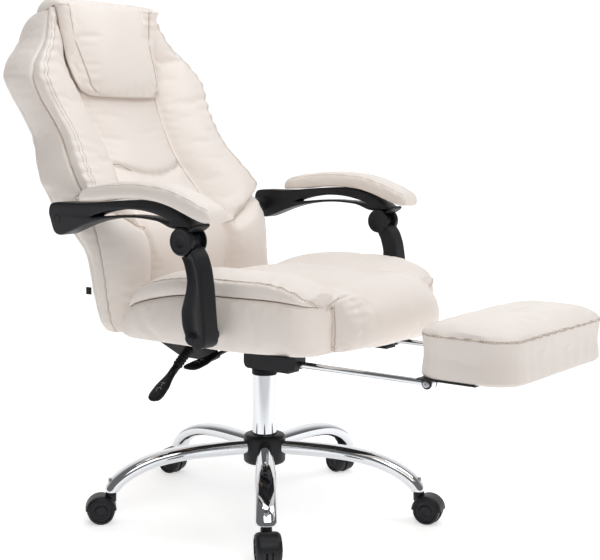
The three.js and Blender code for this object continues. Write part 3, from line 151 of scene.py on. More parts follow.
def path_length(points):
    """Distance along a line of points from its start to each of them."""
    return np.concatenate([[0], np.cumsum(np.linalg.norm(np.diff(points, axis=0), axis=1))])


def unit(vectors):
    """Vectors scaled to a length of one."""
    return vectors / np.maximum(np.linalg.norm(vectors, axis=-1, keepdims=True), 1e-12)


def round_angles(count):
    """Angles evenly spaced round a circle."""
    return np.linspace(0, 2 * np.pi, count, endpoint=False)


def signed_power(value, power):
    """The size of a number raised to a power, with the number's sign."""
    return np.sign(value) * np.abs(value) ** power


def ring_quads(index):
    """Quads between the rows of a grid of point numbers whose rows are loops."""
    beside = np.roll(index, -1, axis=1)
    return np.stack([index[:-1], beside[:-1], beside[1:], index[1:]], axis=-1).reshape(-1, 4)


def skin(grid, caps=True):
    """Points and faces of a grid of points whose rows are loops. A quad joins each four
    neighbours, and a fan closes each end. A skin whose volume comes out negative is turned
    round."""
    rows, columns = grid.shape[:2]
    index = np.arange(rows * columns).reshape(rows, columns)
    points, faces = grid.reshape(-1, 3), ring_quads(index).tolist()
    if caps:
        for row, way in ((0, -1), (rows - 1, 1)):
            fan = [index[row], np.roll(index[row], -1)][::way]
            faces += np.column_stack([*fan, np.full(columns, len(points))]).tolist()
            points = np.vstack([points, grid[row].mean(axis=0)])
    a, b, c = (points[[f[k] for f in faces]] for k in range(3))
    if np.einsum("ij,ij->i", a, np.cross(b, c)).sum() < 0:
        faces = [f[::-1] for f in faces]
    return points, faces


def together(*skins):
    """Several skins as one."""
    points, faces, start = [], [], 0
    for some_points, some_faces in skins:
        points.append(some_points)
        faces += [[i + start for i in f] for f in some_faces]
        start += len(some_points)
    return np.vstack(points), faces


def bend_through(start, corner, end, count):
    """The quadratic curve that leaves a start towards a corner and comes from it to an end."""
    t = np.linspace(0, 1, count)[:, None]
    return start * (1 - t) ** 2 + 2 * corner * t * (1 - t) + end * t**2


def rounded(corner_points, radius, steps=5):
    """A profile whose inner corners are replaced by arcs: each is the quadratic curve between
    the two points that lie a radius, or a little under half a side, from the corner."""
    p = np.array(corner_points, float)
    out = [p[0]]
    for before, corner, after in zip(p[:-2], p[1:-1], p[2:]):
        back, on = before - corner, after - corner
        reach = min(radius, 0.45 * np.linalg.norm(back), 0.45 * np.linalg.norm(on))
        start, end = corner + unit(back) * reach, corner + unit(on) * reach
        out.extend(bend_through(start, corner, end, steps))
    out.append(p[-1])
    return np.array(out)


def turned(profile, origin=(0, 0, 0), axis="z", sides=72, hand=1):
    """A profile of radius and height turned about an axis through the origin. hand is -1 for
    heights that count down the axis."""
    profile = np.array(profile, float) * [1, hand]
    angle = round_angles(sides)
    first, second = profile[:, :1] * np.cos(angle), profile[:, :1] * np.sin(angle)
    along = np.broadcast_to(profile[:, 1:], first.shape)
    order = {"z": (first, second, along), "x": (along, first, second), "y": (second, along, first)}
    grid = np.stack(order[axis], axis=-1) + np.array(origin, float)
    return skin(grid, caps=not np.allclose(profile[0], profile[-1]))


def along_path(path, half_sizes, side, sides=32, power=2.0):
    """A superellipse carried along a path in the plane whose normal is side. Half sizes hold,
    for each point, half the width along side and half the height across it."""
    path, side = np.array(path, float), np.array(side, float)
    up = np.cross(unit(np.gradient(path, axis=0)), side)
    angle = round_angles(sides)
    across, rise = signed_power(np.cos(angle), 2 / power), signed_power(np.sin(angle), 2 / power)
    half = np.broadcast_to(np.array(half_sizes, float), (len(path), 2))
    grid = (
        path[:, None]
        + side * (half[:, :1] * across)[..., None]
        + up[:, None] * (half[:, 1:] * rise)[..., None]
    )
    return skin(grid)


def plate(loops, plane, low, high, round_edge):
    """A flat plate with rounded edges: its outline loops, the later ones holes, pushed out from
    low to high along the axis across the plane ("yz" or "xy")."""
    curve = bpy.data.curves.new("outline", "CURVE")
    curve.dimensions = "2D"
    curve.fill_mode = "BOTH"
    curve.extrude = (high - low) / 2 - round_edge
    curve.bevel_depth = round_edge
    curve.bevel_resolution = 4
    curve.offset = -round_edge
    for loop in loops:
        line = curve.splines.new("POLY")
        line.points.add(len(loop) - 1)
        flat = np.column_stack([loop, np.zeros(len(loop)), np.ones(len(loop))])
        line.points.foreach_set("co", flat.ravel())
        line.use_cyclic_u = True
    holder = bpy.data.objects.new("outline", curve)
    mesh = bpy.data.meshes.new_from_object(holder)
    flat = np.zeros(len(mesh.vertices) * 3)
    mesh.vertices.foreach_get("co", flat)
    faces = [list(face.vertices) for face in mesh.polygons]
    bpy.data.objects.remove(holder)
    bpy.data.curves.remove(curve)
    bpy.data.meshes.remove(mesh)
    a, b, depth = flat.reshape(-1, 3).T
    depth = depth + (low + high) / 2
    return np.column_stack({"yz": (depth, a, b), "xy": (a, b, depth)}[plane]), faces


# Finishes

def linear(hex_colour):
    """An sRGB hex colour as linear light with full alpha."""
    parts = np.array([int(hex_colour[i : i + 2], 16) for i in (1, 3, 5)]) / 255
    light = np.where(parts <= 0.04045, parts / 12.92, ((parts + 0.055) / 1.055) ** 2.4)
    return (*light.tolist(), 1.0)


def add_node(tree, kind, settings=(), **links):
    """Adds a node, sets its attributes or unlinked inputs, and links inputs to sockets. A key
    with an underscore and a number, such as Color_2, is the input's place in its list."""
    made = tree.nodes.new(kind)
    for name, value in dict(settings).items():
        if hasattr(made, name):
            setattr(made, name, value)
        else:
            made.inputs[name].default_value = value
    for name, socket in links.items():
        key = int(name.rsplit("_", 1)[1]) if name[-1].isdigit() else name.replace("_", " ")
        tree.links.new(socket, made.inputs[key])
    return made


def finish_named(name, hex_colour, roughness, metallic=0.0, **settings):
    """A new material with its Principled shader's constants set on its own sockets."""
    material = bpy.data.materials.new(name)
    material.use_nodes = True
    shader = material.node_tree.nodes["Principled BSDF"]
    shader.inputs["Base Color"].default_value = linear(hex_colour)
    shader.inputs["Roughness"].default_value = roughness
    shader.inputs["Metallic"].default_value = metallic
    for key, value in settings.items():
        shader.inputs[key.replace("_", " ")].default_value = value
    return material, material.node_tree, shader


def map_range(tree, value, from_low, from_high, low, high):
    """The socket of a value mapped from one range to another, and clamped there."""
    ends = {"From Min": from_low, "From Max": from_high, "To Min": low, "To Max": high}
    return add_node(tree, "ShaderNodeMapRange", ends, Value=value).outputs["Result"]


def shade_between(tree, shader, socket, pattern, low, high):
    """Drives one of the shader's inputs between two values or two hex colours by a pattern."""
    if isinstance(low, str):
        ramp = add_node(tree, "ShaderNodeValToRGB", Fac=pattern)
        for element, colour in zip(ramp.color_ramp.elements, (low, high)):
            element.color = linear(colour)
        shade = ramp.outputs["Color"]
    else:
        shade = map_range(tree, pattern, 0.0, 1.0, low, high)
    tree.links.new(shade, shader.inputs[socket])


def relief(tree, shader, layers):
    """Adds height patterns to a shader's normal. Each layer is a pattern's socket, the height
    of its full range in metres and its strength."""
    below = {}
    for pattern, height, strength in layers:
        settings = {"Strength": strength, "Distance": height}
        made = add_node(tree, "ShaderNodeBump", settings, Height=pattern, **below)
        below = {"Normal": made.outputs["Normal"]}
    tree.links.new(below["Normal"], shader.inputs["Normal"])


def object_place(tree):
    """The socket of the Object coordinates."""
    return add_node(tree, "ShaderNodeTexCoord").outputs["Object"]


def noise(tree, size, detail=3.0):
    """A noise pattern on Object coordinates whose blotches are about one size across."""
    settings = {"Scale": 1 / size, "Detail": detail}
    pattern = add_node(tree, "ShaderNodeTexNoise", settings, Vector=object_place(tree))
    return pattern.outputs["Fac"]


GRAIN = 0.0016  # across one pebble of the cover's grain: twice the real one, so that it shows
BUCKLE = 0.045  # across one soft buckle of the cover over its foam
HANDLING = 0.16  # across one patch where the cover is a little duller or warmer


def artificial_leather():
    """Cream polyurethane leather: an embossed pebble grain under a satin top coat, over foam,
    so it shows faint buckles, a soft highlight and slight changes of warmth."""
    material, tree, shader = finish_named(
        "cream_polyurethane_leather", "#ECE3DB", 0.46, Coat_Weight=0.1, Coat_Roughness=0.42
    )
    grain = {"feature": "SMOOTH_F1", "Scale": 1 / GRAIN}
    pebbles = add_node(tree, "ShaderNodeTexVoronoi", grain, Vector=object_place(tree))
    buckles = noise(tree, BUCKLE, 2.0)
    shade_between(tree, shader, "Base Color", noise(tree, HANDLING, 2.0), "#E8DED6", "#F0E8E1")
    shade_between(tree, shader, "Roughness", noise(tree, BUCKLE * 0.7), 0.4, 0.54)
    relief(tree, shader, [(buckles, 0.0022, 0.35), (pebbles.outputs["Distance"], 0.00022, 0.5)])
    return material


def plywood():
    """Bare beech plywood: rings stretched along the board."""
    material, tree, shader = finish_named("beech_plywood", "#B48E60", 0.65)
    stretch = {"Scale": (30.0, 2.0, 30.0)}
    stretched = add_node(tree, "ShaderNodeMapping", stretch, Vector=object_place(tree)).outputs[0]
    detail = {"Scale": 4.0, "Detail": 5.0}
    rings = add_node(tree, "ShaderNodeTexNoise", detail, Vector=stretched).outputs["Fac"]
    shade_between(tree, shader, "Base Color", rings, "#9C774C", "#C6A274")
    return material


def patterned(name, base, roughness, metallic=0.0, tint=None, gloss=None, tooth=None, **settings):
    """A finish whose colour and roughness wander with noise and whose surface has a fine tooth.
    tint and gloss hold a noise's size and two values, and tooth holds a noise's size and detail
    and the relief's height and strength."""
    material, tree, shader = finish_named(name, base, roughness, metallic, **settings)
    for socket, spread in (("Base Color", tint), ("Roughness", gloss)):
        if spread:
            shade_between(tree, shader, socket, noise(tree, spread[0]), *spread[1:])
    if tooth:
        size, detail, height, strength = tooth
        relief(tree, shader, [(noise(tree, size, detail), height, strength)])
    return material


def moulded_plastic(name, dark, light, smooth, rough, grit):
    """Glass-filled nylon or ABS moulded black: a fine spark-eroded texture that spreads its
    highlights, a little shinier where the tool was polished."""
    return patterned(
        name, dark, smooth, tint=(0.05, dark, light), gloss=(0.03, smooth, rough),
        tooth=(grit, 4.0, grit / 4, 0.35), Specular_IOR_Level=0.3,
    )


LEATHER = artificial_leather()
# Twisted polyester sewing thread, a shade darker than the cover.
THREAD = patterned(
    "cream_polyester_thread", "#C4B9AE", 0.62,
    tint=(0.004, "#BAAEA2", "#CFC5BA"), tooth=(0.0006, 3.0, 0.0002, 0.4),
)
# The cover's turned-in edge in a seam, as thin cords of the same leather darkened: painted shade
# standing in for the shadow in the seam's groove.
SEAM_SHADOW = patterned("painted_seam_shadow", "#C0AF9E", 0.8, tint=(0.02, "#B6A493", "#CBBBAB"))
PLASTIC = moulded_plastic("black_moulded_plastic", "#141518", "#1D1E22", 0.36, 0.5, 0.0012)
NYLON = moulded_plastic("black_nylon", "#17181B", "#222327", 0.4, 0.55, 0.0016)
# Bright chromium plate on steel tube: a mirror with the faint waviness of the tube.
CHROME = patterned(
    "chromium_plate", "#DDDFE2", 0.05, 1.0,
    gloss=(0.02, 0.03, 0.09), tooth=(0.03, 1.0, 0.0002, 0.15),
)
# Bright zinc plate on steel: greyer and duller than chrome, with a finely blotched gloss.
ZINC = patterned("zinc_plated_steel", "#B4B6BA", 0.28, 1.0, gloss=(0.004, 0.2, 0.4))
# Black epoxy powder coat on pressed steel: fine orange peel, half matt.
COAT = patterned(
    "black_powder_coat", "#121316", 0.4,
    gloss=(0.012, 0.34, 0.5), tooth=(0.0018, 2.0, 0.0004, 0.35),
)
# Matt black rubber, with a fine dull tooth.
RUBBER = patterned(
    "black_rubber", "#0F0F10", 0.75, gloss=(0.006, 0.65, 0.85), tooth=(0.0012, 3.0, 0.0002, 0.3)
)
PLYWOOD = plywood()
# Black non-woven dust cloth: matt, with a fuzzy fine tooth and paler patches.
DUST_CLOTH = patterned(
    "black_nonwoven_cloth", "#101011", 0.9,
    tint=(0.008, "#0C0C0D", "#17171A"), tooth=(0.001, 3.0, 0.0002, 0.4),
)
# Pale ink printed on the paddles with a soft pad: flat and half matt.
MARKING = finish_named("pale_pad_printing", "#B9BDC3", 0.5)[0]


def new_object(name, points, faces):
    """A mesh object of points and faces, in the scene."""
    mesh = bpy.data.meshes.new(name)
    mesh.from_pydata(points.tolist(), [], faces)
    made = bpy.data.objects.new(name, mesh)
    bpy.context.scene.collection.objects.link(made)
    return made


def merge_doubles(mesh, distance=1e-6):
    """Merges points that lie on one another, and turns every face outwards."""
    work = bmesh.new()
    work.from_mesh(mesh)
    bmesh.ops.remove_doubles(work, verts=work.verts, dist=distance)
    bmesh.ops.dissolve_degenerate(work, edges=work.edges, dist=distance)
    bmesh.ops.recalc_face_normals(work, faces=work.faces)
    work.to_mesh(mesh)
    work.free()


def make_piece(name, shape, material, body, replaces=(), sharp=35.0):
    """A mesh object from points and faces, with its doubles merged and its faces smooth up to
    an angle in degrees, riding on a body."""
    made = new_object(name, *shape)
    mesh = made.data
    merge_doubles(mesh)
    mesh.shade_smooth()
    mesh.set_sharp_from_angle(angle=math.radians(sharp))
    mesh.materials.append(material)
    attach(made, body)
    if replaces:
        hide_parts(*replaces)
    return made


# The stage: a floor, soft light and the photograph's camera

FLOOR_REACH = 40.0
BACKDROP_WAY = (0.79, 0.61, 0.0)  # the side of the room that is a white wall
BACKDROP_LIGHT = 1.04
WALL_SPREAD = (0.35, 0.86)  # shares towards the wall at which its light starts and is full
ROOM_LIGHT = 0.17
PAPER_END = (0.5, 0.95)  # the paper stops in front of the chair, and a grey studio floor follows
FLOOR_GLOW = (0.52, 0.85)  # the paper's glow near the chair and far from it
GLOW_REACH = (0.8, 4.0)  # where the glow starts to grow, and where it is full
GREY_GLOW = 0.6  # the grey floor's glow, of the paper's
# Soft boxes: name, place, size, power and colour.
STUDIO_LIGHTS = [
    ("key", (0.9, -1.7, 3.3), 1.8, 38.5, "#FAFCFF"),
    ("front", (-1.8, -2.0, 2.5), 1.8, 33.0, "#FFFDFA"),
    ("top", (-0.1, 0.3, 3.2), 1.6, 28.0, "#FAFCFF"),
]


def make_stage():
    """A floor whose faint glow stands for the bounce of a white studio, a room that is bright on
    one side, soft boxes, and the camera that was fitted to the photograph."""
    scene = bpy.context.scene
    scene.view_settings.view_transform = "Standard"
    aim = math.atan2(-CAMERA_PLACE.x, -(CAMERA_PLACE.y - COLUMN_Y)) + CAMERA_YAW
    level, down = math.cos(CAMERA_PITCH), -math.sin(CAMERA_PITCH)
    look = Vector((math.sin(aim) * level, math.cos(aim) * level, down))
    lens = bpy.data.cameras.new("camera")
    lens.sensor_width = SENSOR
    lens.lens = SENSOR * FOCAL_PIXELS / PHOTO_WIDTH
    lens.shift_x = (PHOTO_WIDTH / 2 - PHOTO_CENTRE[0]) / PHOTO_WIDTH
    lens.shift_y = (PHOTO_CENTRE[1] - PHOTO_HEIGHT / 2) / PHOTO_WIDTH
    scene.camera = placed("camera", lens, CAMERA_PLACE, look)

    square = FLOOR_REACH * np.array([[-1, -1, 0], [1, -1, 0], [1, 1, 0], [-1, 1, 0]])
    floor = new_object("floor", square, [[0, 1, 2, 3]])
    floor.data.materials.append(studio_paper())

    world = bpy.data.worlds.new("studio")
    world.use_nodes = True
    tree = world.node_tree
    background = tree.nodes["Background"]
    background.inputs["Color"].default_value = linear("#FFFFFF")
    way = add_node(tree, "ShaderNodeTexCoord").outputs["Generated"]
    facing_wall = share_along(tree, way, BACKDROP_WAY)
    bright = map_range(tree, facing_wall, *WALL_SPREAD, ROOM_LIGHT, BACKDROP_LIGHT)
    tree.links.new(bright, background.inputs["Strength"])
    scene.world = world
    middle = (CAD_BOX[0] + CAD_BOX[1]) / 2
    for name, place, size, power, hex_colour in STUDIO_LIGHTS:
        lamp = bpy.data.lights.new(name, "AREA")
        lamp.size, lamp.energy, lamp.color = size, power, linear(hex_colour)[:3]
        placed(name, lamp, place, middle - Vector(place))


def placed(name, data, place, look):
    """A camera or lamp at a place, turned to look along a direction."""
    made = bpy.data.objects.new(name, data)
    made.location = place
    made.rotation_mode = "QUATERNION"
    made.rotation_quaternion = look.to_track_quat("-Z", "Y")
    bpy.context.scene.collection.objects.link(made)
    return made


def share_along(tree, place, way):
    """The socket of how far a place lies along a direction."""
    dot = add_node(tree, "ShaderNodeVectorMath", {"operation": "DOT_PRODUCT"}, Vector_0=place)
    dot.inputs[1].default_value = way
    return dot.outputs["Value"]


def studio_paper():
    """Matt white background paper whose glow grows with the distance from the chair. It ends in
    front of the chair in a grey studio floor that glows less."""
    material, tree, shader = finish_named(
        "pale_studio_paper", "#F6F6F6", 0.8, Emission_Color=linear("#FFFFFF")
    )
    shade_between(tree, shader, "Roughness", noise(tree, 0.4), 0.7, 0.85)
    place = object_place(tree)
    away = add_node(tree, "ShaderNodeVectorMath", {"operation": "LENGTH"}, Vector_0=place)
    bounce = map_range(tree, away.outputs["Value"], *GLOW_REACH, *FLOOR_GLOW)
    forward = (-BACKDROP_WAY[0], -BACKDROP_WAY[1], 0.0)
    on_paper = map_range(tree, share_along(tree, place, forward), *PAPER_END, 1.0, 0.0)
    dimmed = map_range(tree, on_paper, 0.0, 1.0, GREY_GLOW, 1.0)
    times = {"operation": "MULTIPLY"}
    glowing = add_node(tree, "ShaderNodeMath", times, Value_0=dimmed, Value_1=bounce)
    tree.links.new(glowing.outputs["Value"], shader.inputs["Emission Strength"])
    shade_between(tree, shader, "Base Color", on_paper, "#BCBCBE", "#F6F6F6")
    return material


make_stage()

# Padded pieces. Each is a closed grid. The cloth is simulated with its seams held, and stitches
# then follow the simulated grid.

CUSHIONS = []
CLOTH_FRAMES = 20
CLOTH_PRESSURE = 4.0


def add_cushion(name, grid, held, body, node, cap, slack):
    """Makes a cushion of a closed grid. held is 1 where the cover is sewn or backed and 0 where
    it's free, cap is how far the cloth may move, and slack is how much larger the cover is cut
    than its shape."""
    made = make_piece(name, skin(grid), LEATHER, body, [node], sharp=180.0)
    CUSHIONS.append({"piece": made, "grid": grid, "held": held, "cap": cap, "slack": slack})
    return CUSHIONS[-1]


def simulate_cushions():
    """Inflates all cushions at once as cloth with held seams and with no gravity, then adds
    each point's move, up to its cushion's cap, to the cushion's grid."""
    started = []
    for cushion in CUSHIONS:
        held = cushion["held"]
        points, faces = skin(cushion["grid"])
        cloth_object = new_object("cloth", points, faces)
        sewn = cloth_object.vertex_groups.new(name="sewn")
        weights = np.concatenate([held.ravel(), np.ones(len(points) - held.size)])
        for weight in np.unique(weights):
            sewn.add(np.flatnonzero(weights == weight).tolist(), float(weight), "REPLACE")
        cloth = cloth_object.modifiers.new("cloth", "CLOTH")
        cloth.settings.vertex_group_mass = "sewn"
        cloth.settings.quality = 5
        cloth.settings.use_pressure = True
        cloth.settings.uniform_pressure_force = CLOTH_PRESSURE
        cloth.settings.effector_weights.gravity = 0
        cloth.settings.shrink_min = -cushion["slack"]
        cloth.collision_settings.use_collision = False
        started.append((cushion, cloth_object, points))
    for step in range(1, CLOTH_FRAMES + 1):
        bpy.context.scene.frame_set(step)
    graph = bpy.context.evaluated_depsgraph_get()
    for cushion, cloth_object, points in started:
        result = np.zeros(points.size, np.float32)
        cloth_object.evaluated_get(graph).data.vertices.foreach_get("co", result)
        move = result.reshape(-1, 3).astype(float) - points
        length, cap = np.linalg.norm(move, axis=1, keepdims=True), cushion["cap"]
        move = unit(move) * cap * np.tanh(length / cap)
        shape = cushion["grid"].shape
        cushion["grid"] = cushion["grid"] + move[: shape[0] * shape[1]].reshape(shape)
    for _, cloth_object, _ in started:
        bpy.data.meshes.remove(cloth_object.data)
    bpy.context.scene.frame_set(1)


def finish_cushions():
    """Writes each cushion's grid to its mesh and adds one subdivision."""
    for cushion in CUSHIONS:
        points, faces = skin(cushion["grid"])
        mesh = cushion["piece"].data
        mesh.clear_geometry()
        mesh.from_pydata(points.tolist(), [], faces)
        merge_doubles(mesh)
        mesh.shade_smooth()
        finer = cushion["piece"].modifiers.new("finer", "SUBSURF")
        finer.levels = finer.render_levels = 1


def on_grid(grid, rows, columns):
    """Points and normals at places on a grid, given as row and column numbers that may lie
    between two. Columns go round."""
    r, c = (np.asarray(part, float) for part in np.broadcast_arrays(rows, columns))
    r, c = np.clip(r, 0, len(grid) - 1.001), c % grid.shape[1]
    i, j = r.astype(int), c.astype(int)
    u, v = (r - i)[:, None], (c - j)[:, None]
    after = (j + 1) % grid.shape[1]
    a, b, d, e = grid[i, j], grid[i, after], grid[i + 1, j], grid[i + 1, after]
    place = a * (1 - u) * (1 - v) + b * (1 - u) * v + d * u * (1 - v) + e * u * v
    down, across = (d - a) * (1 - v) + (e - b) * v, (b - a) * (1 - u) + (e - d) * u
    return place, unit(np.cross(down, across))


def facing(normal, outward):
    """Normals turned to the side of a direction, if one is given."""
    if outward is None:
        return normal
    return normal * np.where(normal @ np.array(outward, float) < 0, -1, 1)[:, None]


STITCH = {"length": 0.0042, "pitch": 0.0054, "half_width": 0.0006, "proud": 0.0002}
SEAM_SPREAD = 0.0035  # from a seam to each of its two rows of stitches


def stitch_row(grid, rows, columns, sideways=0.0, outward=None):
    """Stitches along a line on a grid: each is a small bar with rounded ends, laid along the
    line a set pitch apart. sideways moves the row off the line along the surface."""
    place, normal = on_grid(grid, rows, columns)
    length = path_length(place)
    count = max(int(length[-1] / STITCH["pitch"]), 1)
    at = (np.arange(count) + 0.5) * STITCH["pitch"]

    def along(values, shift=0.0):
        return np.column_stack([np.interp(at + shift, length, part) for part in values.T])

    forward = unit(along(place, 1e-3) - along(place, -1e-3))
    out = along(normal)
    out = facing(unit(out - forward * np.einsum("ij,ij->i", out, forward)[:, None]), outward)
    side = np.cross(forward, out)
    ends = np.array([-1, -0.8, 0, 0.8, 1])[:, None] * STITCH["length"] / 2
    girth = np.array([0.25, 0.85, 1, 0.85, 0.25])[:, None, None] * STITCH["half_width"]
    rise = np.array([-0.6, 0.4, 1, 0.4, -0.6])[:, None] * STITCH["proud"]
    core = (along(place) + side * sideways)[:, None]
    core = core + forward[:, None] * ends + out[:, None] * rise
    angle = round_angles(6)[:, None]
    ring = side[:, None, None] * np.cos(angle) + out[:, None, None] * np.sin(angle)
    points = core[:, :, None] + girth * ring
    index = np.arange(points[0].size // 3).reshape(points.shape[1:3])
    quads, faces = ring_quads(index), []
    for start in range(0, index.size * count, index.size):
        faces += (quads + start).tolist()
        faces += [(index[0, ::-1] + start).tolist(), (index[-1] + start).tolist()]
    return points.reshape(-1, 3), faces


def add_stitches(name, rows, body):
    """Rows of stitches as one piece of thread."""
    return make_piece(name, together(*rows), THREAD, body, sharp=60.0)


def seam_shadow_cord(grid, rows, columns, side, outward=None, lift=0.0006):
    """A seam's fold as a thin round cord laid along a line on a grid, in painted shade: its darker
    colour stands in for the shadow in the seam's groove. side is about square to the line."""
    place, normal = on_grid(grid, rows, columns)
    return along_path(place + facing(normal, outward) * lift, (0.0008, 0.0008), side, 8)


# The back. Tables up the back: share of its height, then share of its lean or of its half width.
BACK_BOTTOM = 0.355
BACK_HEIGHT = 0.63
BACK_FOOT = 0.15 + COLUMN_Y
BACK_LEAN = 0.3
BACK_HALF = 0.25
REAR_SHARES = [
    (0, 0.2), (0.03, 0.235), (0.1, 0.275), (0.233, 0.335), (0.3, 0.44), (0.392, 0.64),
    (0.489, 0.78), (0.605, 0.92), (0.73, 1.07), (0.83, 1.15), (0.93, 1.185), (1, 1.19),
]
SIDE_SHARES = [
    (0, 0.06), (0.05, 0.09), (0.203, 0.133), (0.3, 0.167), (0.392, 0.267), (0.4365, 0.333),
    (0.546, 0.527), (0.63, 0.647), (0.7, 0.74), (0.765, 0.793), (0.83, 0.84), (0.9, 0.887),
    (1, 0.953),
]
CREASE_SHARES = [
    (0, 0.14), (0.132, 0.14), (0.225, 0.13), (0.298, 0.167), (0.349, 0.253), (0.4016, 0.36),
    (0.498, 0.517), (0.598, 0.65), (0.7365, 0.8), (0.865, 0.93), (1, 1.03),
]
WIDTH_SHARES = [
    (0, 0.91), (0.04, 0.945), (0.135, 0.96), (0.203, 0.966), (0.327, 0.992), (0.438, 0.992),
    (0.5, 0.955), (0.55, 0.91), (0.598, 0.888), (0.66, 0.904), (0.71, 0.93), (0.765, 0.948),
    (0.8, 0.91), (0.833, 0.848), (0.865, 0.768), (0.897, 0.704), (0.944, 0.648), (1, 0.592),
]
CREASE_PLACE_SHARES = [
    (0, 0.5), (0.3, 0.49), (0.498, 0.42), (0.6, 0.46), (0.74, 0.48), (0.9, 0.62), (1, 0.68),
]
CENTRE_CROWN = 0.013
BOLSTER_BULGE = 0.033
WING_BULGE = 0.015
WING_WALL = 0.029
EDGE_ROUND = 0.007
PAD_THINNEST = 0.009
CREASE_DIP_SHARES = [(0, 0.016), (0.28, 0.018), (0.4, 0.01), (0.5, 0.007), (1, 0.006)]
CREASE_WIDTH = 0.007
LUMBAR = {"half": 0.101, "ends": 0.669, "sag": 0.024, "dip": 0.01, "width": 0.005}
WING_EDGE = {
    "inner": 0.12, "outer": 0.234, "low": 0.542, "high": 0.608, "blend": 0.012, "dip": 0.024,
}
REAR_CROWN = 0.013
REAR_CORNER = 0.02
CASING_FRONT, CASING_WALL, CASING_CORNER = 15, 11, 6  # columns of the shell's parts
GROOVE = 0.004  # how far the side seam between pad and shell lies in from both

PAD_ROWS, WING_ROW, LUMBAR_ROW = 108, 36, 54  # the pad's last row, and the rows on its seams
CASING_ROWS = 108
BACK_ACROSS = 72  # columns over the front of the back pad, so that a crease is a whole column
WALL_COLUMNS = 5
BEHIND_COLUMNS = 18


def lean(table, h):
    """Place along Y of a line up the back, at shares of its height."""
    return BACK_FOOT + BACK_LEAN * curve_through(table, h)


def back_half(h):
    """Half width of the back at shares of its height."""
    return BACK_HALF * curve_through(WIDTH_SHARES, h)


def wing_edge_height(a):
    """Height of the wing's lower edge over a distance from the middle: a slanting line."""
    e = WING_EDGE
    return e["low"] + (a - e["inner"]) * (e["high"] - e["low"]) / (e["outer"] - e["inner"])


def lumbar_height(a):
    """Height of the lumbar seam: a parabola that sags in the middle and is level outside."""
    return LUMBAR["ends"] - LUMBAR["sag"] * np.maximum(1 - (a / LUMBAR["half"]) ** 2, 0)


# Gathers beside a seam: their pitch, reach and depth, and a seed for the right and left side.
GATHERS = {
    "crease": (0.017, 0.016, 0.0013, 1.3, 4.1), "lumbar": (0.019, 0.016, 0.0012, 2.2, 2.2),
    "side": (0.021, 0.024, 0.0028, 0.4, 3.3), "wing": (0.018, 0.014, 0.001, 5.0, 1.0),
    "pillow": (0.02, 0.016, 0.0014, 0.9, 2.9), "pillow_foot": (0.023, 0.022, 0.0016, 1.9, 1.9),
    "seat": (0.022, 0.018, 0.0016, 1.1, 3.7), "channel": (0.02, 0.016, 0.0014, 2.1, 4.7),
    "seat_box": (0.03, 0.02, 0.0014, 2.0, 2.0), "footrest": (0.024, 0.012, 0.0012, 1.4, 1.4),
}


def puckers(seam, along, away, x=0.0):
    """Gathers beside a seam: waves along it whose pitch and strength wander, and which fade
    with distance from it. The sign of x tells the side."""
    pitch, reach, depth, right, left = GATHERS[seam]
    seed, at = np.where(x < 0, right, left), along / pitch
    wander = 0.9 * np.sin(0.83 * at + seed) + 0.6 * np.sin(0.37 * at + 2 * seed)
    strength = 0.55 + 0.45 * np.sin(0.61 * at + 3 * seed)
    return depth * strength * np.sin(2 * np.pi * at + wander) * bump(away, reach)


def crease_place(h):
    """Distance of a crease from the middle."""
    return back_half(h) * curve_through(CREASE_PLACE_SHARES, h)


def crease_dip(a, h):
    """Depth of a crease at a distance from the middle: a bell about it."""
    return curve_through(CREASE_DIP_SHARES, h) * bump(a - crease_place(h), CREASE_WIDTH)


def back_z(h):
    """Height over the floor at shares of the back."""
    return BACK_BOTTOM + BACK_HEIGHT * h


def back_share(z):
    """Share of the back at a height over the floor."""
    return (z - BACK_BOTTOM) / BACK_HEIGHT


def back_front(x, h):
    """Place along Y of the back's front. The centre panel is a parabola between its creases. A
    bolster, and above it a wing, is a flattened half sine from the crease to the side seam,
    rounded off there. Bells sink the creases, the lumbar seam and the wing's lower edge."""
    a = np.abs(x)
    z = back_z(h)
    half = back_half(h)
    crease_x = crease_place(h)
    crease = lean(CREASE_SHARES, h)
    over_edge = z - wing_edge_height(a)
    wing = smoothstep(-WING_EDGE["blend"] / 2, WING_EDGE["blend"] / 2, over_edge)
    fade = 1 - smoothstep(0.72, 0.95, h)
    edge = lean(SIDE_SHARES, h) - WING_WALL * wing * (0.35 + 0.65 * fade)
    centre = crease - CENTRE_CROWN * (1 - (a / crease_x) ** 2)
    u = np.clip((a - crease_x) / (half - crease_x), 0, 1)
    swell = BOLSTER_BULGE * (1 - wing) * smoothstep(-0.02, 0.06, h)
    swell = swell + WING_BULGE * wing * (0.4 + 0.6 * fade)
    outer = crease + (edge - EDGE_ROUND - crease) * u - swell * half_sine(u) ** 0.8
    outer = outer + EDGE_ROUND * smoothstep(0.85, 1, u) ** 2
    inside = a < crease_x
    outside = smoothstep(0.08, 0.25, u)
    off_lumbar = z - lumbar_height(a)
    y = np.where(inside, centre, outer) + crease_dip(a, h)
    y = y + LUMBAR["dip"] * bump(off_lumbar, LUMBAR["width"]) * inside
    y = y + WING_EDGE["dip"] * bump(over_edge + 0.008, 0.008) * outside
    y = y + puckers("crease", z, a - crease_x, x) * (h < 0.72)
    y = y + puckers("lumbar", x, off_lumbar) * inside
    y = y + puckers("side", z, half - a, x)
    return y + puckers("wing", a, over_edge, x) * outside


def back_parting(x, h):
    """Place along Y where the pad meets the shell: a little behind the crease in the middle,
    the side seam at the sides, and always behind the front."""
    a = np.abs(x)
    middle = lean(CREASE_SHARES, h) + PAD_THINNEST
    blend = smoothstep(0.6, 0.85, a / back_half(h))
    parting = middle + (lean(SIDE_SHARES, h) - middle) * blend
    return np.maximum(parting, back_front(x, h) + PAD_THINNEST * 0.7)


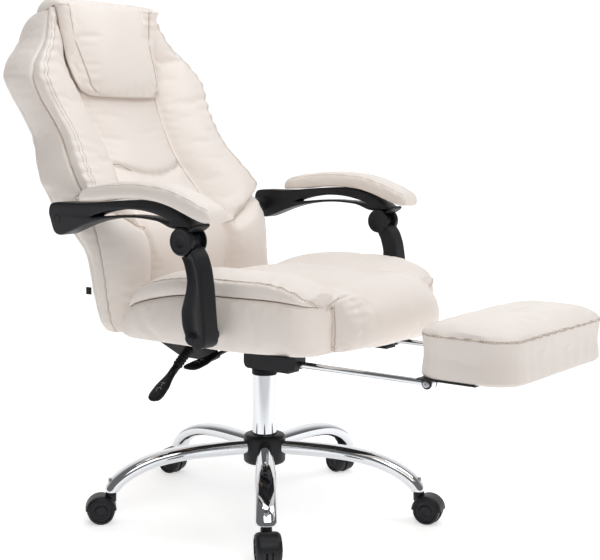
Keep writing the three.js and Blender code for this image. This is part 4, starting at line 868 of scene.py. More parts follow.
def row_heights(a):
    """Heights of the back's rows at a distance from the middle: straight stretches between the
    foot, the wing's edge, the lumbar seam and the top, each at a fixed share of the rows, so
    that one row follows each seam."""
    low = np.clip(wing_edge_height(np.maximum(a, WING_EDGE["inner"])), 0.5, 0.615)
    knots = np.stack([back_z(0 * a), low, lumbar_height(a), back_z(1 + 0 * a)])
    steps = (WING_ROW, LUMBAR_ROW - WING_ROW, PAD_ROWS - LUMBAR_ROW)
    parts = [
        start + (end - start) * (np.arange(count) / count)[:, None]
        for start, end, count in zip(knots[:-1], knots[1:], steps)
    ]
    return np.vstack([*parts, knots[-1:]])


def spread_across(u, half, crease_x):
    """Distance from the middle for a column between -1 and 1 whose half way is the crease."""
    a = np.abs(u)
    outside = crease_x + (half - crease_x) * (2 * a - 1)
    return np.sign(u) * np.where(a < 0.5, 2 * a * crease_x, outside)


def back_pad_grid():
    """The back pad: its front, a side wall, its rear against the shell, and the other wall."""
    u = np.linspace(-1, 1, BACK_ACROSS + 1)
    z = row_heights(np.abs(u) * BACK_HALF * 0.94)
    h = back_share(z)
    x = spread_across(u, back_half(h), crease_place(h))
    front = np.stack([x, back_front(x, h), z], axis=-1)
    t = (np.arange(WALL_COLUMNS) + 1) / (WALL_COLUMNS + 1)
    walls = []
    for column, hand in ((-1, 1), (0, -1)):
        edge_x, from_y, edge_z = (front[:, column, k, None] for k in range(3))
        deep = back_parting(edge_x, h[:, column, None]) - GAP - from_y
        wall_x = edge_x + hand * (0.06 * np.abs(deep) * np.sin(np.pi * t) - GROOVE * t**5)
        walls.append(grid_of(wall_x, from_y + deep * t, edge_z)[:, ::hand])
    s = np.linspace(1, -1, BEHIND_COLUMNS + 1)
    h, z = h[:, -1:], z[:, -1:]
    x = (back_half(h) - GROOVE) * s
    behind = grid_of(x, back_parting(x, h) - GAP, z)
    return np.concatenate([front, walls[0], behind, walls[1]], axis=1)


def add_back_pad():
    """The back pad's cushion, held at its seams and creases and stiffer at its walls."""
    grid = back_pad_grid()
    held = np.ones(grid.shape[:2])
    front = held[:, : BACK_ACROSS + 1]
    a = np.abs(np.linspace(-1, 1, BACK_ACROSS + 1))
    front[:] = np.minimum(np.abs(a - 0.5), 1 - a) * BACK_ACROSS / 2 < 0.5
    front[LUMBAR_ROW, a <= 0.5] = 1
    front[WING_ROW, a > 0.5] = 1
    held[:2] = held[-2:] = 1
    held[:, BACK_ACROSS + 1 : BACK_ACROSS + 1 + WALL_COLUMNS] = held[:, -WALL_COLUMNS:] = 0.7
    return add_cushion(
        "back_pad_cover", grid, held, "back", "back_pad",
        cap=0.006, slack=0.014,
    )


def back_casing_grid():
    """The shell's cover: the parting against the pad, a flat side, a rounded corner, and a rear
    panel that is a parabola across. A bell sinks the seam round the rear panel."""
    h = np.linspace(0, 1, CASING_ROWS)[:, None]
    over = np.maximum(h - 0.9, 0) / 0.1
    half, side = back_half(h) - 0.012 * over**4, lean(SIDE_SHARES, h)
    rear = lean(REAR_SHARES, h) - 0.05 * over**3
    inset = np.minimum(REAR_CORNER, (rear - side) / 2)
    s = np.linspace(-1, 1, CASING_FRONT)
    front = grid_of(s * (half - GROOVE), back_parting(s * half, h))
    t = np.linspace(0.06, 1, CASING_WALL)
    belly = 0.004 * np.sin(np.pi * t) * smoothstep(0, 0.06, rear - side)
    wall_y = back_parting(half, h) * (1 - t) + (rear - inset) * t
    wall = grid_of(half + belly - 0.0015 * bump(t - 1, 0.09), wall_y)
    angle = np.linspace(0, np.pi / 2, CASING_CORNER + 1)[1:]
    flat = half - inset
    corner = grid_of(flat + inset * np.cos(angle), rear - inset + inset * np.sin(angle))
    beside = np.concatenate([wall, corner], axis=1)
    across = np.linspace(1, -1, 43)[1:-1] * flat
    crown = REAR_CROWN * ((flat / half) ** 2 - (across / half) ** 2)
    rim = flat - np.abs(across)
    seam = 0.006 * smoothstep(0.008, 0.05, rim) - 0.0018 * bump(rim - 0.006, 0.003)
    panel = grid_of(across, rear + crown + seam)
    section = np.concatenate([front, beside, panel, (beside * [-1, 1])[:, ::-1]], axis=1)
    return grid_of(section[..., 0], section[..., 1], back_z(h))


def add_back_casing():
    """The shell's cushion, held where it meets the pad and backed elsewhere."""
    grid = back_casing_grid()
    held = np.ones(grid.shape[:2])
    wall, corner = CASING_FRONT, CASING_WALL + CASING_CORNER
    held[3:-3, wall + 2 : wall + 10] = held[3:-3, -25:-2] = 0.35
    held[4:-4, wall + corner + 4 : -corner - 4] = 0.5
    return add_cushion(
        "back_shell_cover", grid, held, "back", "back_casing",
        cap=0.005, slack=0.01,
    )


# The headrest pillow
PILLOW = {
    "low": 0.803, "high": 1.003, "bottom_half": 0.116, "top_half": 0.146,
    "bulge": 0.040, "edge": 0.008, "overhang": 0.012, "droop": 0.03, "seam": 0.8,
}
PILLOW_ACROSS = 60


def pillow_grid():
    """The pillow: a crown over the back's front that swells with a sine upwards and falls to
    the edges with a power of the distance across. Above the back it closes over the top and
    hangs down a little behind it."""
    top = back_z(1)
    rise = PILLOW["high"] - top - GAP
    low_part = np.linspace(PILLOW["low"], top, 40)
    over_part = np.array([0.0, 0.06, 0.16, 0.3, 0.45, 0.6, 0.74, 0.86, 0.95, 1.0])
    z = np.concatenate([low_part, top + GAP + over_part * rise])[:, None]
    over = np.concatenate([0 * low_part, over_part])[:, None]
    h = np.minimum(back_share(z), 1)
    up = (z - PILLOW["low"]) / (top - PILLOW["low"])
    half = PILLOW["bottom_half"] + (PILLOW["top_half"] - PILLOW["bottom_half"]) * np.minimum(up, 1)
    half = half - 0.026 * np.maximum(1 - up / 0.16, 0) ** 2.4
    half = half + 0.004 * (over > 0) - 0.026 * over**2
    swell = np.sin(np.pi * np.minimum(0.06 + 0.62 * up, 1)) ** 0.7
    rear = lean(REAR_SHARES, 1) - PILLOW["overhang"] - 0.022 * over**2
    s = np.linspace(-1, 1, PILLOW_ACROSS + 1)[None]
    crown = PILLOW["bulge"] * swell * (1 - np.abs(s) ** 4.5) ** 0.8 + PILLOW["edge"]
    off_seam = (np.abs(s) - PILLOW["seam"]) * half
    seam = 0.002 * bump(off_seam, 0.003) * (over < 0.6)
    waves = puckers("pillow", z, off_seam, s)
    waves = waves + puckers("pillow_foot", s * half, z - PILLOW["low"])
    sunk = rise * 1.6 * over**2.2
    front_y = back_front_calm(s * half, h) - GAP - crown + sunk + seam + waves
    front = grid_of(s * half, front_y, z)
    q = s[:, ::-5]
    over_top = np.maximum(rear - 0.012 * np.abs(q) ** 5, front_y[:, ::-5] + 0.01)
    behind_y = np.where(over + 0 * q > 0, over_top, back_front_calm(q * half, h) - GAP)
    behind_z = z - PILLOW["droop"] * (1 - over) ** 2 * (over > 0)
    return np.concatenate([front, grid_of(q * half * 0.998, behind_y, behind_z)], axis=1)


def back_front_calm(x, h):
    """The back's front as CAD has it where the pillow lies, without the crease's sharp dip."""
    return back_front(x, h) - crease_dip(np.abs(x), h)


def add_pillow():
    """The pillow's cushion, held at its seams, its ends and its back."""
    grid = pillow_grid()
    held = np.ones(grid.shape[:2])
    s = np.linspace(-1, 1, PILLOW_ACROSS + 1)
    seam = np.abs(np.abs(s) - PILLOW["seam"]) * PILLOW_ACROSS / 2 < 0.6
    held[2:-3, 1 : PILLOW_ACROSS] = 0
    held[:, : PILLOW_ACROSS + 1][:, seam] = 1
    return add_cushion(
        "headrest_cover", grid, held, "back", "headrest_pillow",
        cap=0.008, slack=0.016,
    )


# The seat
SEAT = {
    "half": 0.25, "rear": 0.148 + COLUMN_Y, "front": -0.266 + COLUMN_Y,
    "bottom": 0.355, "height": 0.09, "round": 0.009,
}
# Along the box: its place, then shares of its half width, of its foot's and of its top's height.
SEAT_BOX_SHARES = np.array([
    (0, 0.52, 0.14, 0.82), (0.004, 0.62, 0.05, 0.9), (0.015, 0.75, 0.01, 0.93),
    (0.035, 0.83, 0, 0.955), (0.075, 0.885, 0, 0.99), (0.147, 0.915, 0, 1.02),
    (0.232, 0.95, 0, 1.04), (0.353, 0.995, 0, 1.05), (0.498, 1, 0, 1.045), (0.643, 1, 0, 0.99),
    (0.763, 1, 0, 0.9), (0.86, 1, 0, 0.794), (0.92, 0.998, 0, 0.7), (0.949, 0.99, 0.005, 0.62),
    (0.975, 0.98, 0.02, 0.5), (0.992, 0.965, 0.05, 0.3), (1, 0.95, 0.1, 0.16),
])
# Along the top pad: the place and then the height of its crest, after the place where it starts
# on the box, and shares of its width, its channels' place and depth, its edge and its swell.
SEAT_TOP_SHARES = np.array([
    (0.949, 0.949, 0.71, 0.96, 0.42, 0.9, 0.9, 0.1),
    (0.92, 0.925, 0.88, 0.975, 0.42, 0.8, 1.1, 0.4),
    (0.86, 0.862, 1.06, 0.98, 0.42, 0.7, 1.15, 0.6),
    (0.763, 0.763, 1.22, 0.984, 0.42, 0.68, 1.05, 0.66),
    (0.643, 0.643, 1.32, 0.984, 0.42, 0.66, 0.98, 0.7),
    (0.498, 0.498, 1.37, 0.984, 0.42, 0.64, 0.98, 0.72),
    (0.353, 0.353, 1.37, 0.978, 0.42, 0.62, 0.96, 0.74),
    (0.232, 0.232, 1.365, 0.935, 0.43, 0.6, 0.94, 0.74),
    (0.147, 0.147, 1.36, 0.9, 0.46, 0.58, 0.78, 0.66),
    (0.075, 0.07, 1.34, 0.87, 0.51, 0.56, 0.5, 0.5),
    (0.035, 0.02, 1.32, 0.82, 0.55, 0.54, 0.24, 0.3),
    (0.015, -0.015, 1.285, 0.72, 0.57, 0.54, 0.1, 0.12),
])
# The same down the front roll, with the height where each row starts instead of its place.
SEAT_ROLL_SHARES = np.array([
    (0.92, -0.056, 1.22, 0.6, 0.52, 0.6, 0.03, 0.12),
    (0.8, -0.118, 1.05, 0.6, 0.5, 0.62, 0.03, 0.12),
    (0.62, -0.166, 0.81, 0.6, 0.5, 0.62, 0.03, 0.12),
    (0.45, -0.184, 0.53, 0.6, 0.5, 0.62, 0.03, 0.12),
    (0.29, -0.17, 0.28, 0.6, 0.5, 0.62, 0.03, 0.12),
    (0.16, -0.135, 0.11, 0.6, 0.5, 0.62, 0.03, 0.12),
    (0.08, -0.08, 0.03, 0.6, 0.5, 0.62, 0.05, 0.12),
    (0.03, -0.03, 0.02, 0.58, 0.48, 0.7, 0.3, 0.1),
])
SEAT_BOX_COUNTS = (16, 12)  # points between the corners of the box, across and up
SEAT_ACROSS = 76
SEAT_ROWS = 120
SEAT_STATIONS = len(SEAT_TOP_SHARES) + len(SEAT_ROLL_SHARES) - 1
LOBE_END = 11.4  # the place among both tables' rows where the lobes end in a crease over the roll
LOBE_ROW = round(LOBE_END / SEAT_STATIONS * (SEAT_ROWS - 1))  # the grid's row in that crease
LOBE_FLATTER = 0.8  # the lobes' swell, of the tables' swell, because the cloth swells them again
TOP_SEAM = 1 - 2 / SEAT_ACROSS  # share across where the seat's top panel meets its side
SEAT_WALL = np.array([0.82, 0.6, 0.4, 0.2, 0.05])  # shares up the top pad's side


def seat_y(along):
    """Place along Y at shares of the seat from front to rear."""
    return SEAT["front"] + along * (SEAT["rear"] - SEAT["front"])


def seat_z(up):
    """Height over the floor at shares of the seat box's height."""
    return SEAT["bottom"] + up * SEAT["height"]


def seat_top_grid():
    """The seat's top pad. A row lies across the chair, from a line on the box to a crest. In
    the middle it falls with the cube of the distance to the channels, and each lobe is a
    flattened half sine out to the edge. Rows are smooth between those of the tables."""
    top, roll = SEAT_TOP_SHARES, SEAT_ROLL_SHARES
    box_top = np.interp(top[:, 0], SEAT_BOX_SHARES[:, 0], SEAT_BOX_SHARES[:, 3])
    base = np.vstack([
        np.column_stack([seat_y(top[:, 0]), seat_z(box_top) + GAP]),
        np.column_stack([np.full(len(roll), SEAT["front"] - GAP), seat_z(roll[:, 0])]),
    ])
    both = np.vstack([top, roll])
    crest = np.column_stack([seat_y(both[:, 1]), seat_z(both[:, 2])])
    rows = np.column_stack([np.arange(len(both)), base, crest, both[:, 3:]])
    station = np.linspace(0, SEAT_STATIONS, SEAT_ROWS)
    at = curve_through(rows, station)
    base, crest = at[:, None, 0:2], at[:, None, 2:4]
    wide, channel_at, channel_deep, edge, swell = (at[:, k : k + 1] for k in range(4, 9))
    half, channel_x = wide * SEAT["half"], channel_at * SEAT["half"]
    share = np.linspace(-1, 1, SEAT_ACROSS + 1)[None]
    a = np.abs(share)
    out = np.clip(2 * a - 1, 0, 1)
    inner = 1 + (channel_deep - 1) * (2 * a) ** 3
    outer = channel_deep + (edge - channel_deep) * out
    outer = outer + LOBE_FLATTER * swell * half_sine(out) ** 0.8
    depth = np.where(a < 0.5, inner, outer)
    x = np.sign(share) * np.where(a < 0.5, 2 * a * channel_x, channel_x + out * (half - channel_x))
    thick = np.linalg.norm(crest - base, axis=-1)
    travel = path_length(crest[:, 0])[:, None]
    off_seam, off_channel = (a - TOP_SEAM) * half, np.abs(x) - channel_x
    lowered = 0.003 * bump(off_channel, 0.006) + 0.0022 * bump(off_seam, 0.004)
    crease = bump(station[:, None] - LOBE_END, 0.5)
    lowered = lowered + 0.007 * crease * smoothstep(0.45, 0.62, a)
    waves = puckers("seat", travel, off_seam, share)
    waves = waves + puckers("channel", travel, off_channel, share)
    depth = depth + (waves - lowered) / np.maximum(thick, 0.01)
    side_x, side_depth = half + 0.003 * np.sin(np.pi * SEAT_WALL), edge * SEAT_WALL
    under = np.linspace(1, -1, 13)[None] * (half - SEAT["round"])
    all_x = np.concatenate([x, side_x, under, -side_x[:, ::-1]], axis=1)
    all_depth = np.concatenate([depth, side_depth, 0 * under, side_depth[:, ::-1]], axis=1)
    return np.dstack([all_x, base + (crest - base) * all_depth[..., None]])


def add_seat_top():
    """The top pad's cushion, held in its channels, seams and ends and stiffer at its walls."""
    grid = seat_top_grid()
    held = np.ones(grid.shape[:2])
    top = held[:, : SEAT_ACROSS + 1]
    a = np.abs(np.linspace(-1, 1, SEAT_ACROSS + 1))
    near = 1.2 / SEAT_ACROSS
    top[:] = (np.abs(a - 0.5) <= near) | (np.abs(a - TOP_SEAM) <= near)
    top[LOBE_ROW : LOBE_ROW + 2] = a > 0.5
    held[:2] = held[-3:] = 1
    wall = len(SEAT_WALL)
    held[:, SEAT_ACROSS + 1 : SEAT_ACROSS + 1 + wall] = held[:, -wall:] = 0.6
    return add_cushion(
        "seat_top_cover", grid, held, "seat", "seat_top_pad",
        cap=0.005, slack=0.014,
    )


def rounded_box(count_across, count_up, arc=4):
    """A rounded rectangle going round, as two sets of shares: of the box inside its corners,
    and of the corners' radius."""
    angle = np.linspace(0, np.pi / 2, arc + 1)
    inner, radial = [], []
    starts = ((1, -1, -np.pi / 2), (1, 1, 0.0), (-1, 1, np.pi / 2), (-1, -1, np.pi))
    for (sx, sz, start), (nx, nz, _) in zip(starts, starts[1:] + starts[:1]):
        inner += [(sx, sz)] * len(angle)
        radial += [(math.cos(start + b), math.sin(start + b)) for b in angle]
        count = count_up if sx == nx else count_across
        t = np.linspace(0, 1, count + 2)[1:-1]
        inner += [(sx + (nx - sx) * k, sz + (nz - sz) * k) for k in t]
        radial += [(math.cos(start + np.pi / 2), math.sin(start + np.pi / 2))] * count
    return np.array(inner), np.array(radial)


def seat_box_grid():
    """The seat box: rounded rectangles across the chair with a slight belly, smooth between
    the rows of their table."""
    table = np.column_stack([np.arange(len(SEAT_BOX_SHARES)), SEAT_BOX_SHARES])
    at = curve_through(table, np.linspace(0, len(table) - 1, 96))
    y, half, foot, top = (at[:, k, None] for k in range(4))
    y, half, foot, top = seat_y(y), half * SEAT["half"], seat_z(foot), seat_z(top)
    (in_x, in_z), (arc_x, arc_z) = (part.T for part in rounded_box(*SEAT_BOX_COUNTS))
    corner = np.minimum(SEAT["round"], (top - foot) / 3)
    x = in_x * (half - corner) + arc_x * corner
    mid, tall = (top + foot) / 2, (top - foot) / 2
    z = mid + in_z * (tall - corner) + arc_z * corner
    belly = 0.003 * (1 - ((z - mid) / tall) ** 2) * (np.abs(arc_x) > 0.9)
    waves = puckers("seat_box", y, z - top + 0.012) * (np.abs(arc_x) > 0.7)
    return grid_of(x + np.sign(x) * (belly - np.abs(waves)), y, z)


def add_seat_box():
    """The seat box's cushion, free on its two sides only."""
    grid = seat_box_grid()
    _, radial = rounded_box(*SEAT_BOX_COUNTS)
    held = np.tile(np.where(np.abs(radial[:, 0]) > 0.9, 0.1, 1.0), (len(grid), 1))
    held[:3] = held[-3:] = 1
    return add_cushion(
        "seat_box_cover", grid, held, "seat", "seat_cushion",
        cap=0.004, slack=0.015,
    )


# The footrest pad
FOOT = {
    "half": 0.184, "rear": -0.441 + COLUMN_Y, "front": -0.621 + COLUMN_Y,
    "height": 0.092, "corner": 0.05,
}
# Up the pad: share of its height, and the inset of its outline in metres.
FOOT_ROWS = [
    (0, 0.03), (0, 0.005), (0.05, 0.001), (0.2, 0.0015), (0.36, 0.004), (0.55, 0.0028),
    (0.68, 0.0015), (0.745, 0.0005), (0.765, 0.0016), (0.79, 0.0012), (0.86, 0.006),
    (0.93, 0.016), (0.968, 0.028), (0.985, 0.04), (0.997, 0.06), (1.0, 0.085),
]
FOOT_STEPS = 7  # rows of the grid for each row of the table
FOOT_SEAM = 8 * FOOT_STEPS  # the row of the seam round its top edge


def foot_pad_grid():
    """The footrest pad: rounded rectangles in plan, each row inset by its table, up the boxing
    and over the crowned top."""
    low = corners("footrest_pad")[0][2]
    table = np.column_stack([np.arange(len(FOOT_ROWS)), FOOT_ROWS])
    at = curve_through(table, np.arange((len(table) - 1) * FOOT_STEPS + 1) / FOOT_STEPS)
    up, inset = at[:, :1], at[:, 1:]
    (in_x, in_y), (arc_x, arc_y) = (part.T for part in rounded_box(20, 5, 10))
    reach = np.maximum(FOOT["corner"] - inset, 0.002)
    extra = FOOT["corner"] + np.maximum(inset - FOOT["corner"] + 0.002, 0)
    middle, deep = (FOOT["rear"] + FOOT["front"]) / 2, (FOOT["rear"] - FOOT["front"]) / 2
    x = in_x * (FOOT["half"] - extra) + arc_x * reach
    y = middle + in_y * (deep - extra) + arc_y * reach
    length = path_length(np.column_stack([x[0], y[0]]))
    waves = puckers("footrest", length, inset - 0.012) * (up > 0.8)
    return grid_of(x, y, low + up * FOOT["height"] + waves)


def add_foot_pad():
    """The footrest's cushion, free over its seam and stiffer below it."""
    grid = foot_pad_grid()
    held = np.ones(grid.shape[:2])
    held[2 * FOOT_STEPS : FOOT_SEAM - 1] = 0.3
    held[FOOT_SEAM + 2 :] = 0
    return add_cushion(
        "footrest_cover", grid, held, "footrest", "footrest_pad",
        cap=0.006, slack=0.02,
    )


# The arms. Places are shares of the arm's reach back from the knuckle and of its rise over it.
KNUCKLE = np.array([-0.074 + COLUMN_Y, 0.55])
POST_FOOT = np.array([-0.092 + COLUMN_Y, 0.387])
ARM_REAR = np.array([0.23 + COLUMN_Y, 0.575])
ARM_SPAN, ARM_HEIGHT, ARM_MIDDLE, ARM_HALF = 0.304, 0.066, 0.304, 0.019
ARM_TOP_SHARES = [
    (1.062, 0.36), (1.075, 0.56), (1.06, 0.78), (1.01, 0.85), (0.9, 0.86), (0.75, 0.87),
    (0.55, 0.95), (0.35, 1), (0.2, 0.97), (0.1, 0.88), (0.01, 0.7), (-0.05, 0.52), (-0.085, 0.44),
    (-0.105, 0.47),
]
ARM_UNDER_SHARES = [
    (-0.112, 0.4), (-0.085, 0.3), (-0.05, 0.25), (0.02, 0.3), (0.09, 0.34), (0.2, 0.5),
    (0.35, 0.54), (0.5, 0.5), (0.65, 0.4), (0.78, 0.24), (0.9, 0.04), (0.975, -0.06),
    (1.03, 0.02),
]
ARM_SLOT_SHARES = [
    (0.09, 0.5), (0.18, 0.65), (0.31, 0.745), (0.45, 0.745), (0.6, 0.65), (0.71, 0.5),
    (0.53, 0.57), (0.36, 0.6), (0.21, 0.565),
]
ARM_FACE, ARM_INSIDE = ARM_MIDDLE + ARM_HALF, ARM_MIDDLE - ARM_HALF
ARM_PAD = {
    "half": 0.031, "rear": 0.167 + COLUMN_Y, "front": -0.142 + COLUMN_Y,
    "thick": 0.029, "plump": 0.007,
}
ARM_PAD_ROWS, ARM_PAD_ROUND = 64, 44
ARM_PAD_UNDER_SHARES = [
    (0, 0.5), (0.06, 0.5), (0.11, 0.56), (0.18, 0.68), (0.29, 0.86), (0.41, 0.98), (0.54, 1.02),
    (0.68, 1.0), (0.86, 0.92), (1, 0.89),
]
POST_REAR_SHARES = [
    (-0.1, -0.5), (-0.07, -0.05), (-0.02, 0.35), (0.05, 0.6), (0.15, 0.76), (0.26, 0.72),
    (0.37, 0.42), (0.5, 0.0), (0.62, -0.2), (0.76, -0.05), (0.87, 0.3), (0.95, 0.55),
]
POST_FRONT_SHARES = [
    (-0.1, -1.0), (-0.07, -1.4), (-0.02, -1.6), (0.05, -1.66), (0.15, -1.66), (0.3, -1.68),
    (0.5, -1.72), (0.68, -1.66), (0.84, -1.4), (0.93, -1.0),
]


def arm_points(shares):
    """Places [Y, Z] of points given in shares of the arm's span and height."""
    return KNUCKLE + np.array(shares) * [ARM_SPAN, ARM_HEIGHT]


def on_side(profile, place, hand, sides):
    """A profile of radius and distance from the chair's middle, turned about an axis along X."""
    return turned(profile, (0, *place), "x", sides, hand)


def screw_recess(place, hand, radius=0.007):
    """A countersunk socket screw in a plastic face: a ring, a slope down to it and its head."""
    profile = [
        (radius + 0.0022, -0.002), (radius + 0.0018, 0.0004), (radius + 0.0006, 0.0007),
        (radius, 0), (radius - 0.001, -0.0035), (0.0045, -0.0038), (0.0042, -0.0012),
        (0.0022, -0.001), (0.0019, -0.0028), (0, -0.003),
    ]
    return on_side(np.array(profile) + [0, ARM_FACE], place, hand, 40)


KNUCKLE_DISC = [
    (0, -0.009), (0.0235, -0.009), (0.0242, -0.007), (0.0242, 0.0006), (0.0228, 0.0026),
    (0.0205, 0.003), (0.0192, 0.0022), (0.0105, 0.0022), (0.0085, 0.0012), (0.0075, -0.0002),
    (0, -0.0004),
]
KNUCKLE_CAP = [
    (0, -0.0004), (0.023, -0.0004), (0.0236, -0.001), (0.0236, -0.0026), (0.022, -0.0036),
    (0.0196, -0.0036), (0.0186, -0.003), (0, -0.003),
]
REAR_BOSS = [(0, 0.2505), (0.0125, 0.2505), (0.013, 0.252), (0.0145, 0.286), (0, 0.29)]
POST_BOSS = [(0, 0.2503), (0.0088, 0.2503), (0.009, 0.252), (0.0105, 0.286), (0, 0.287)]
KNUCKLE_PIN = [
    (0, 0.2862), (0.0045, 0.2862), (0.006, 0.2875), (0.006, ARM_FACE - 0.008),
    (0, ARM_FACE - 0.008),
]


def add_arm(hand, side):
    """An arm: a slotted plate, the knuckle's disc, cap and pin, and the rear pivot's boss."""
    top, under = arm_points(ARM_TOP_SHARES), arm_points(ARM_UNDER_SHARES)
    outline = spline(np.vstack([top, under]), 220, True)
    slot = spline(arm_points(ARM_SLOT_SHARES), 90, True)
    beam = plate([outline, slot[::-1]], "yz", *sorted((hand * ARM_INSIDE, hand * ARM_FACE)), 0.0035)
    disc = rounded(np.array(KNUCKLE_DISC) + [0, ARM_FACE], 0.0012)
    cap = np.array(KNUCKLE_CAP) + [0, ARM_INSIDE]
    shape = together(
        beam, on_side(disc, KNUCKLE, hand, 80), on_side(cap, KNUCKLE, hand, 80),
        on_side(REAR_BOSS, ARM_REAR, hand, 48), on_side(KNUCKLE_PIN, KNUCKLE, hand, 32),
        screw_recess(ARM_REAR, hand),
    )
    node = f"arm_frame_{side}"
    make_piece(f"arm_beam_{side}", shape, PLASTIC, f"arm_{side}", [node], sharp=32.0)


def arm_pad_grid(hand):
    """An arm pad: superellipses across, whose width and thickness fall off at its rounded ends
    and whose underside follows the beam. A bell sinks the seam along its side."""
    s = (1 - np.cos(np.linspace(0, np.pi, ARM_PAD_ROWS)))[:, None] / 2
    y = ARM_PAD["front"] + (ARM_PAD["rear"] - ARM_PAD["front"]) * s
    ends = np.sqrt(np.maximum(1 - np.abs(2 * s - 1) ** 9, 0.004))
    half = ARM_PAD["half"] * (0.66 + 0.34 * ends)
    under = KNUCKLE[1] + ARM_HEIGHT * curve_through(ARM_PAD_UNDER_SHARES, s) + GAP
    plump = ARM_PAD["plump"] * (1 - smoothstep(0.05, 0.5, s))
    thick = (ARM_PAD["thick"] + plump) * (0.3 + 0.7 * ends)
    angle = round_angles(ARM_PAD_ROUND)
    square, lift = signed_power(np.cos(angle), 0.6), (signed_power(np.sin(angle), 0.6) + 1) / 2
    seam = 1 - 0.035 * bump(lift - 0.42, 0.07)
    return grid_of(hand * ARM_MIDDLE + half * square * seam, y, under + thick * lift)


def add_arm_pad(hand, side):
    """An arm pad's cushion, backed below and free above."""
    backed = np.where(np.sin(round_angles(ARM_PAD_ROUND)) > 0.05, 0.0, 1.0)
    held = np.tile(backed, (ARM_PAD_ROWS, 1))
    held[:2] = held[-2:] = 1
    name, node = f"arm_pad_cover_{side}", f"arm_pad_{side}"
    return add_cushion(
        name, arm_pad_grid(hand), held, f"arm_{side}", node,
        cap=0.003, slack=0.01,
    )


def post_shape(hand):
    """A post: rounded rectangles up its length between a front and a rear edge, each the
    outermost of the blade's own curve and of the circles at its head and foot. The outer face
    is hollowed by a bell along its middle, and steps in below the knuckle's disc."""
    head_r, foot_r, blade_unit = 0.0155, 0.0118, 0.021
    low, high = POST_FOOT[1] - 0.0165, KNUCKLE[1] + head_r
    t = (1 - np.cos(np.linspace(0.03, np.pi - 0.03, 140)))[:, None] / 2
    z = low + (high - low) * t
    up = (z - POST_FOOT[1]) / (KNUCKLE[1] - POST_FOOT[1])
    line = POST_FOOT[0] + (KNUCKLE[0] - POST_FOOT[0]) * up
    edges = []
    for table, way in ((POST_REAR_SHARES, 1), (POST_FRONT_SHARES, -1)):
        blade = line + curve_through(table, up) * blade_unit
        reached = (up > table[0][0] - 0.1) & (up < table[-1][0] + 0.02)
        curves = [np.where(reached, blade, line - way)]
        for (y, middle), radius in ((POST_FOOT, foot_r), (KNUCKLE, head_r)):
            chord = radius**2 - (z - middle) ** 2
            curves.append(np.where(chord > 0, y + way * np.sqrt(np.maximum(chord, 0)), line - way))
        edge = way * np.max(way * np.hstack(curves), axis=1)
        eased = np.convolve(edge, np.ones(3) / 3, "valid")
        edges.append(np.concatenate([edge[:1], eased, edge[-1:]])[:, None])
    rear, front = edges
    (in_y, in_x), (arc_y, arc_x) = (part.T for part in rounded_box(22, 6))
    middle, half = (rear + front) / 2, (rear - front) / 2
    corner = np.minimum(0.004, half * 0.6)
    y = middle + in_y * (half - corner) + arc_y * corner
    x = ARM_MIDDLE + in_x * (ARM_HALF - corner) + arc_x * corner
    from_knuckle = np.hypot(y - KNUCKLE[0], z - KNUCKLE[1])
    x = np.minimum(x, ARM_FACE - 0.0118 * (1 - smoothstep(0.0252, 0.0268, from_knuckle)))
    outer_face = (in_x > 0.99) & (arc_x > 0.5)
    hollow = smoothstep(0.0, 0.06, up) * (1 - smoothstep(0.8, 0.9, up)) * outer_face
    x = x - 0.0045 * bump((y - middle) / half - 0.1, 0.42) * hollow
    return skin(grid_of(hand * x, y, z))


def add_post(hand, side):
    """A post: its blade, its boss and the screw at its foot."""
    boss = on_side(POST_BOSS, POST_FOOT, hand, 40)
    shape = together(post_shape(hand), boss, screw_recess(POST_FOOT, hand, 0.0075))
    name, node = f"arm_post_blade_{side}", f"arm_post_{side}"
    make_piece(name, shape, PLASTIC, f"post_{side}", [node], sharp=34.0)


# The base: hub, legs, casters and gas column
STAR = {
    "first": -51.3, "legs": 5, "radius": 0.306, "foot": 0.061, "root": 0.123, "socket": 0.0303,
}
LEG_SHARES = [
    (0, 1), (0.2, 1.005), (0.4, 0.99), (0.56, 0.93), (0.71, 0.8), (0.85, 0.56), (0.95, 0.27),
    (1, 0),
]
CASTER_TURNS = (8, -6, 78, 25, -10)
WHEEL = {"radius": 0.025, "inside": 0.0049, "outside": 0.0224, "trail": 0.019}
COLUMN = (0.0, COLUMN_Y, 0.0)
# Profiles of radius and height, turned about the column.
HUB_COVER = [
    (0.031, 0.091), (0.0375, 0.091), (0.0405, 0.0945), (0.041, 0.1), (0.041, 0.139),
    (0.0402, 0.1445), (0.0365, 0.1475), (0.0305, 0.1488), (0.026, 0.1488), (0.0246, 0.1478),
    (0.0246, 0.14), (0.031, 0.091),
]
TUBE = [
    (0.0222, 0.093), (0.024, 0.093), (0.024, 0.2655), (0.0236, 0.266), (0.0222, 0.266),
    (0.0222, 0.093),
]
BUSH_RIBS = [
    (radius, 0.2668 + 0.0022 * k + rise)
    for k in range(4)
    for radius, rise in ((0.0243, 0), (0.0248, 0.0005), (0.0248, 0.0012), (0.0241, 0.0017))
]
BUSH = [
    (0.0146, 0.198), (0.0219, 0.198), (0.0219, 0.2663), *BUSH_RIBS, (0.0236, 0.276),
    (0.018, 0.2768), (0.0146, 0.2765), (0.0146, 0.198),
]
CYLINDER = [
    (0, 0.12), (0.0138, 0.12), (0.014, 0.1215), (0.014, 0.3455), (0.0135, 0.346), (0, 0.346),
]


def leg_direction(k):
    """The level direction of a leg, by its number."""
    angle = math.radians(STAR["first"] + 360 / STAR["legs"] * k)
    return np.array([math.sin(angle), -math.cos(angle), 0.0])


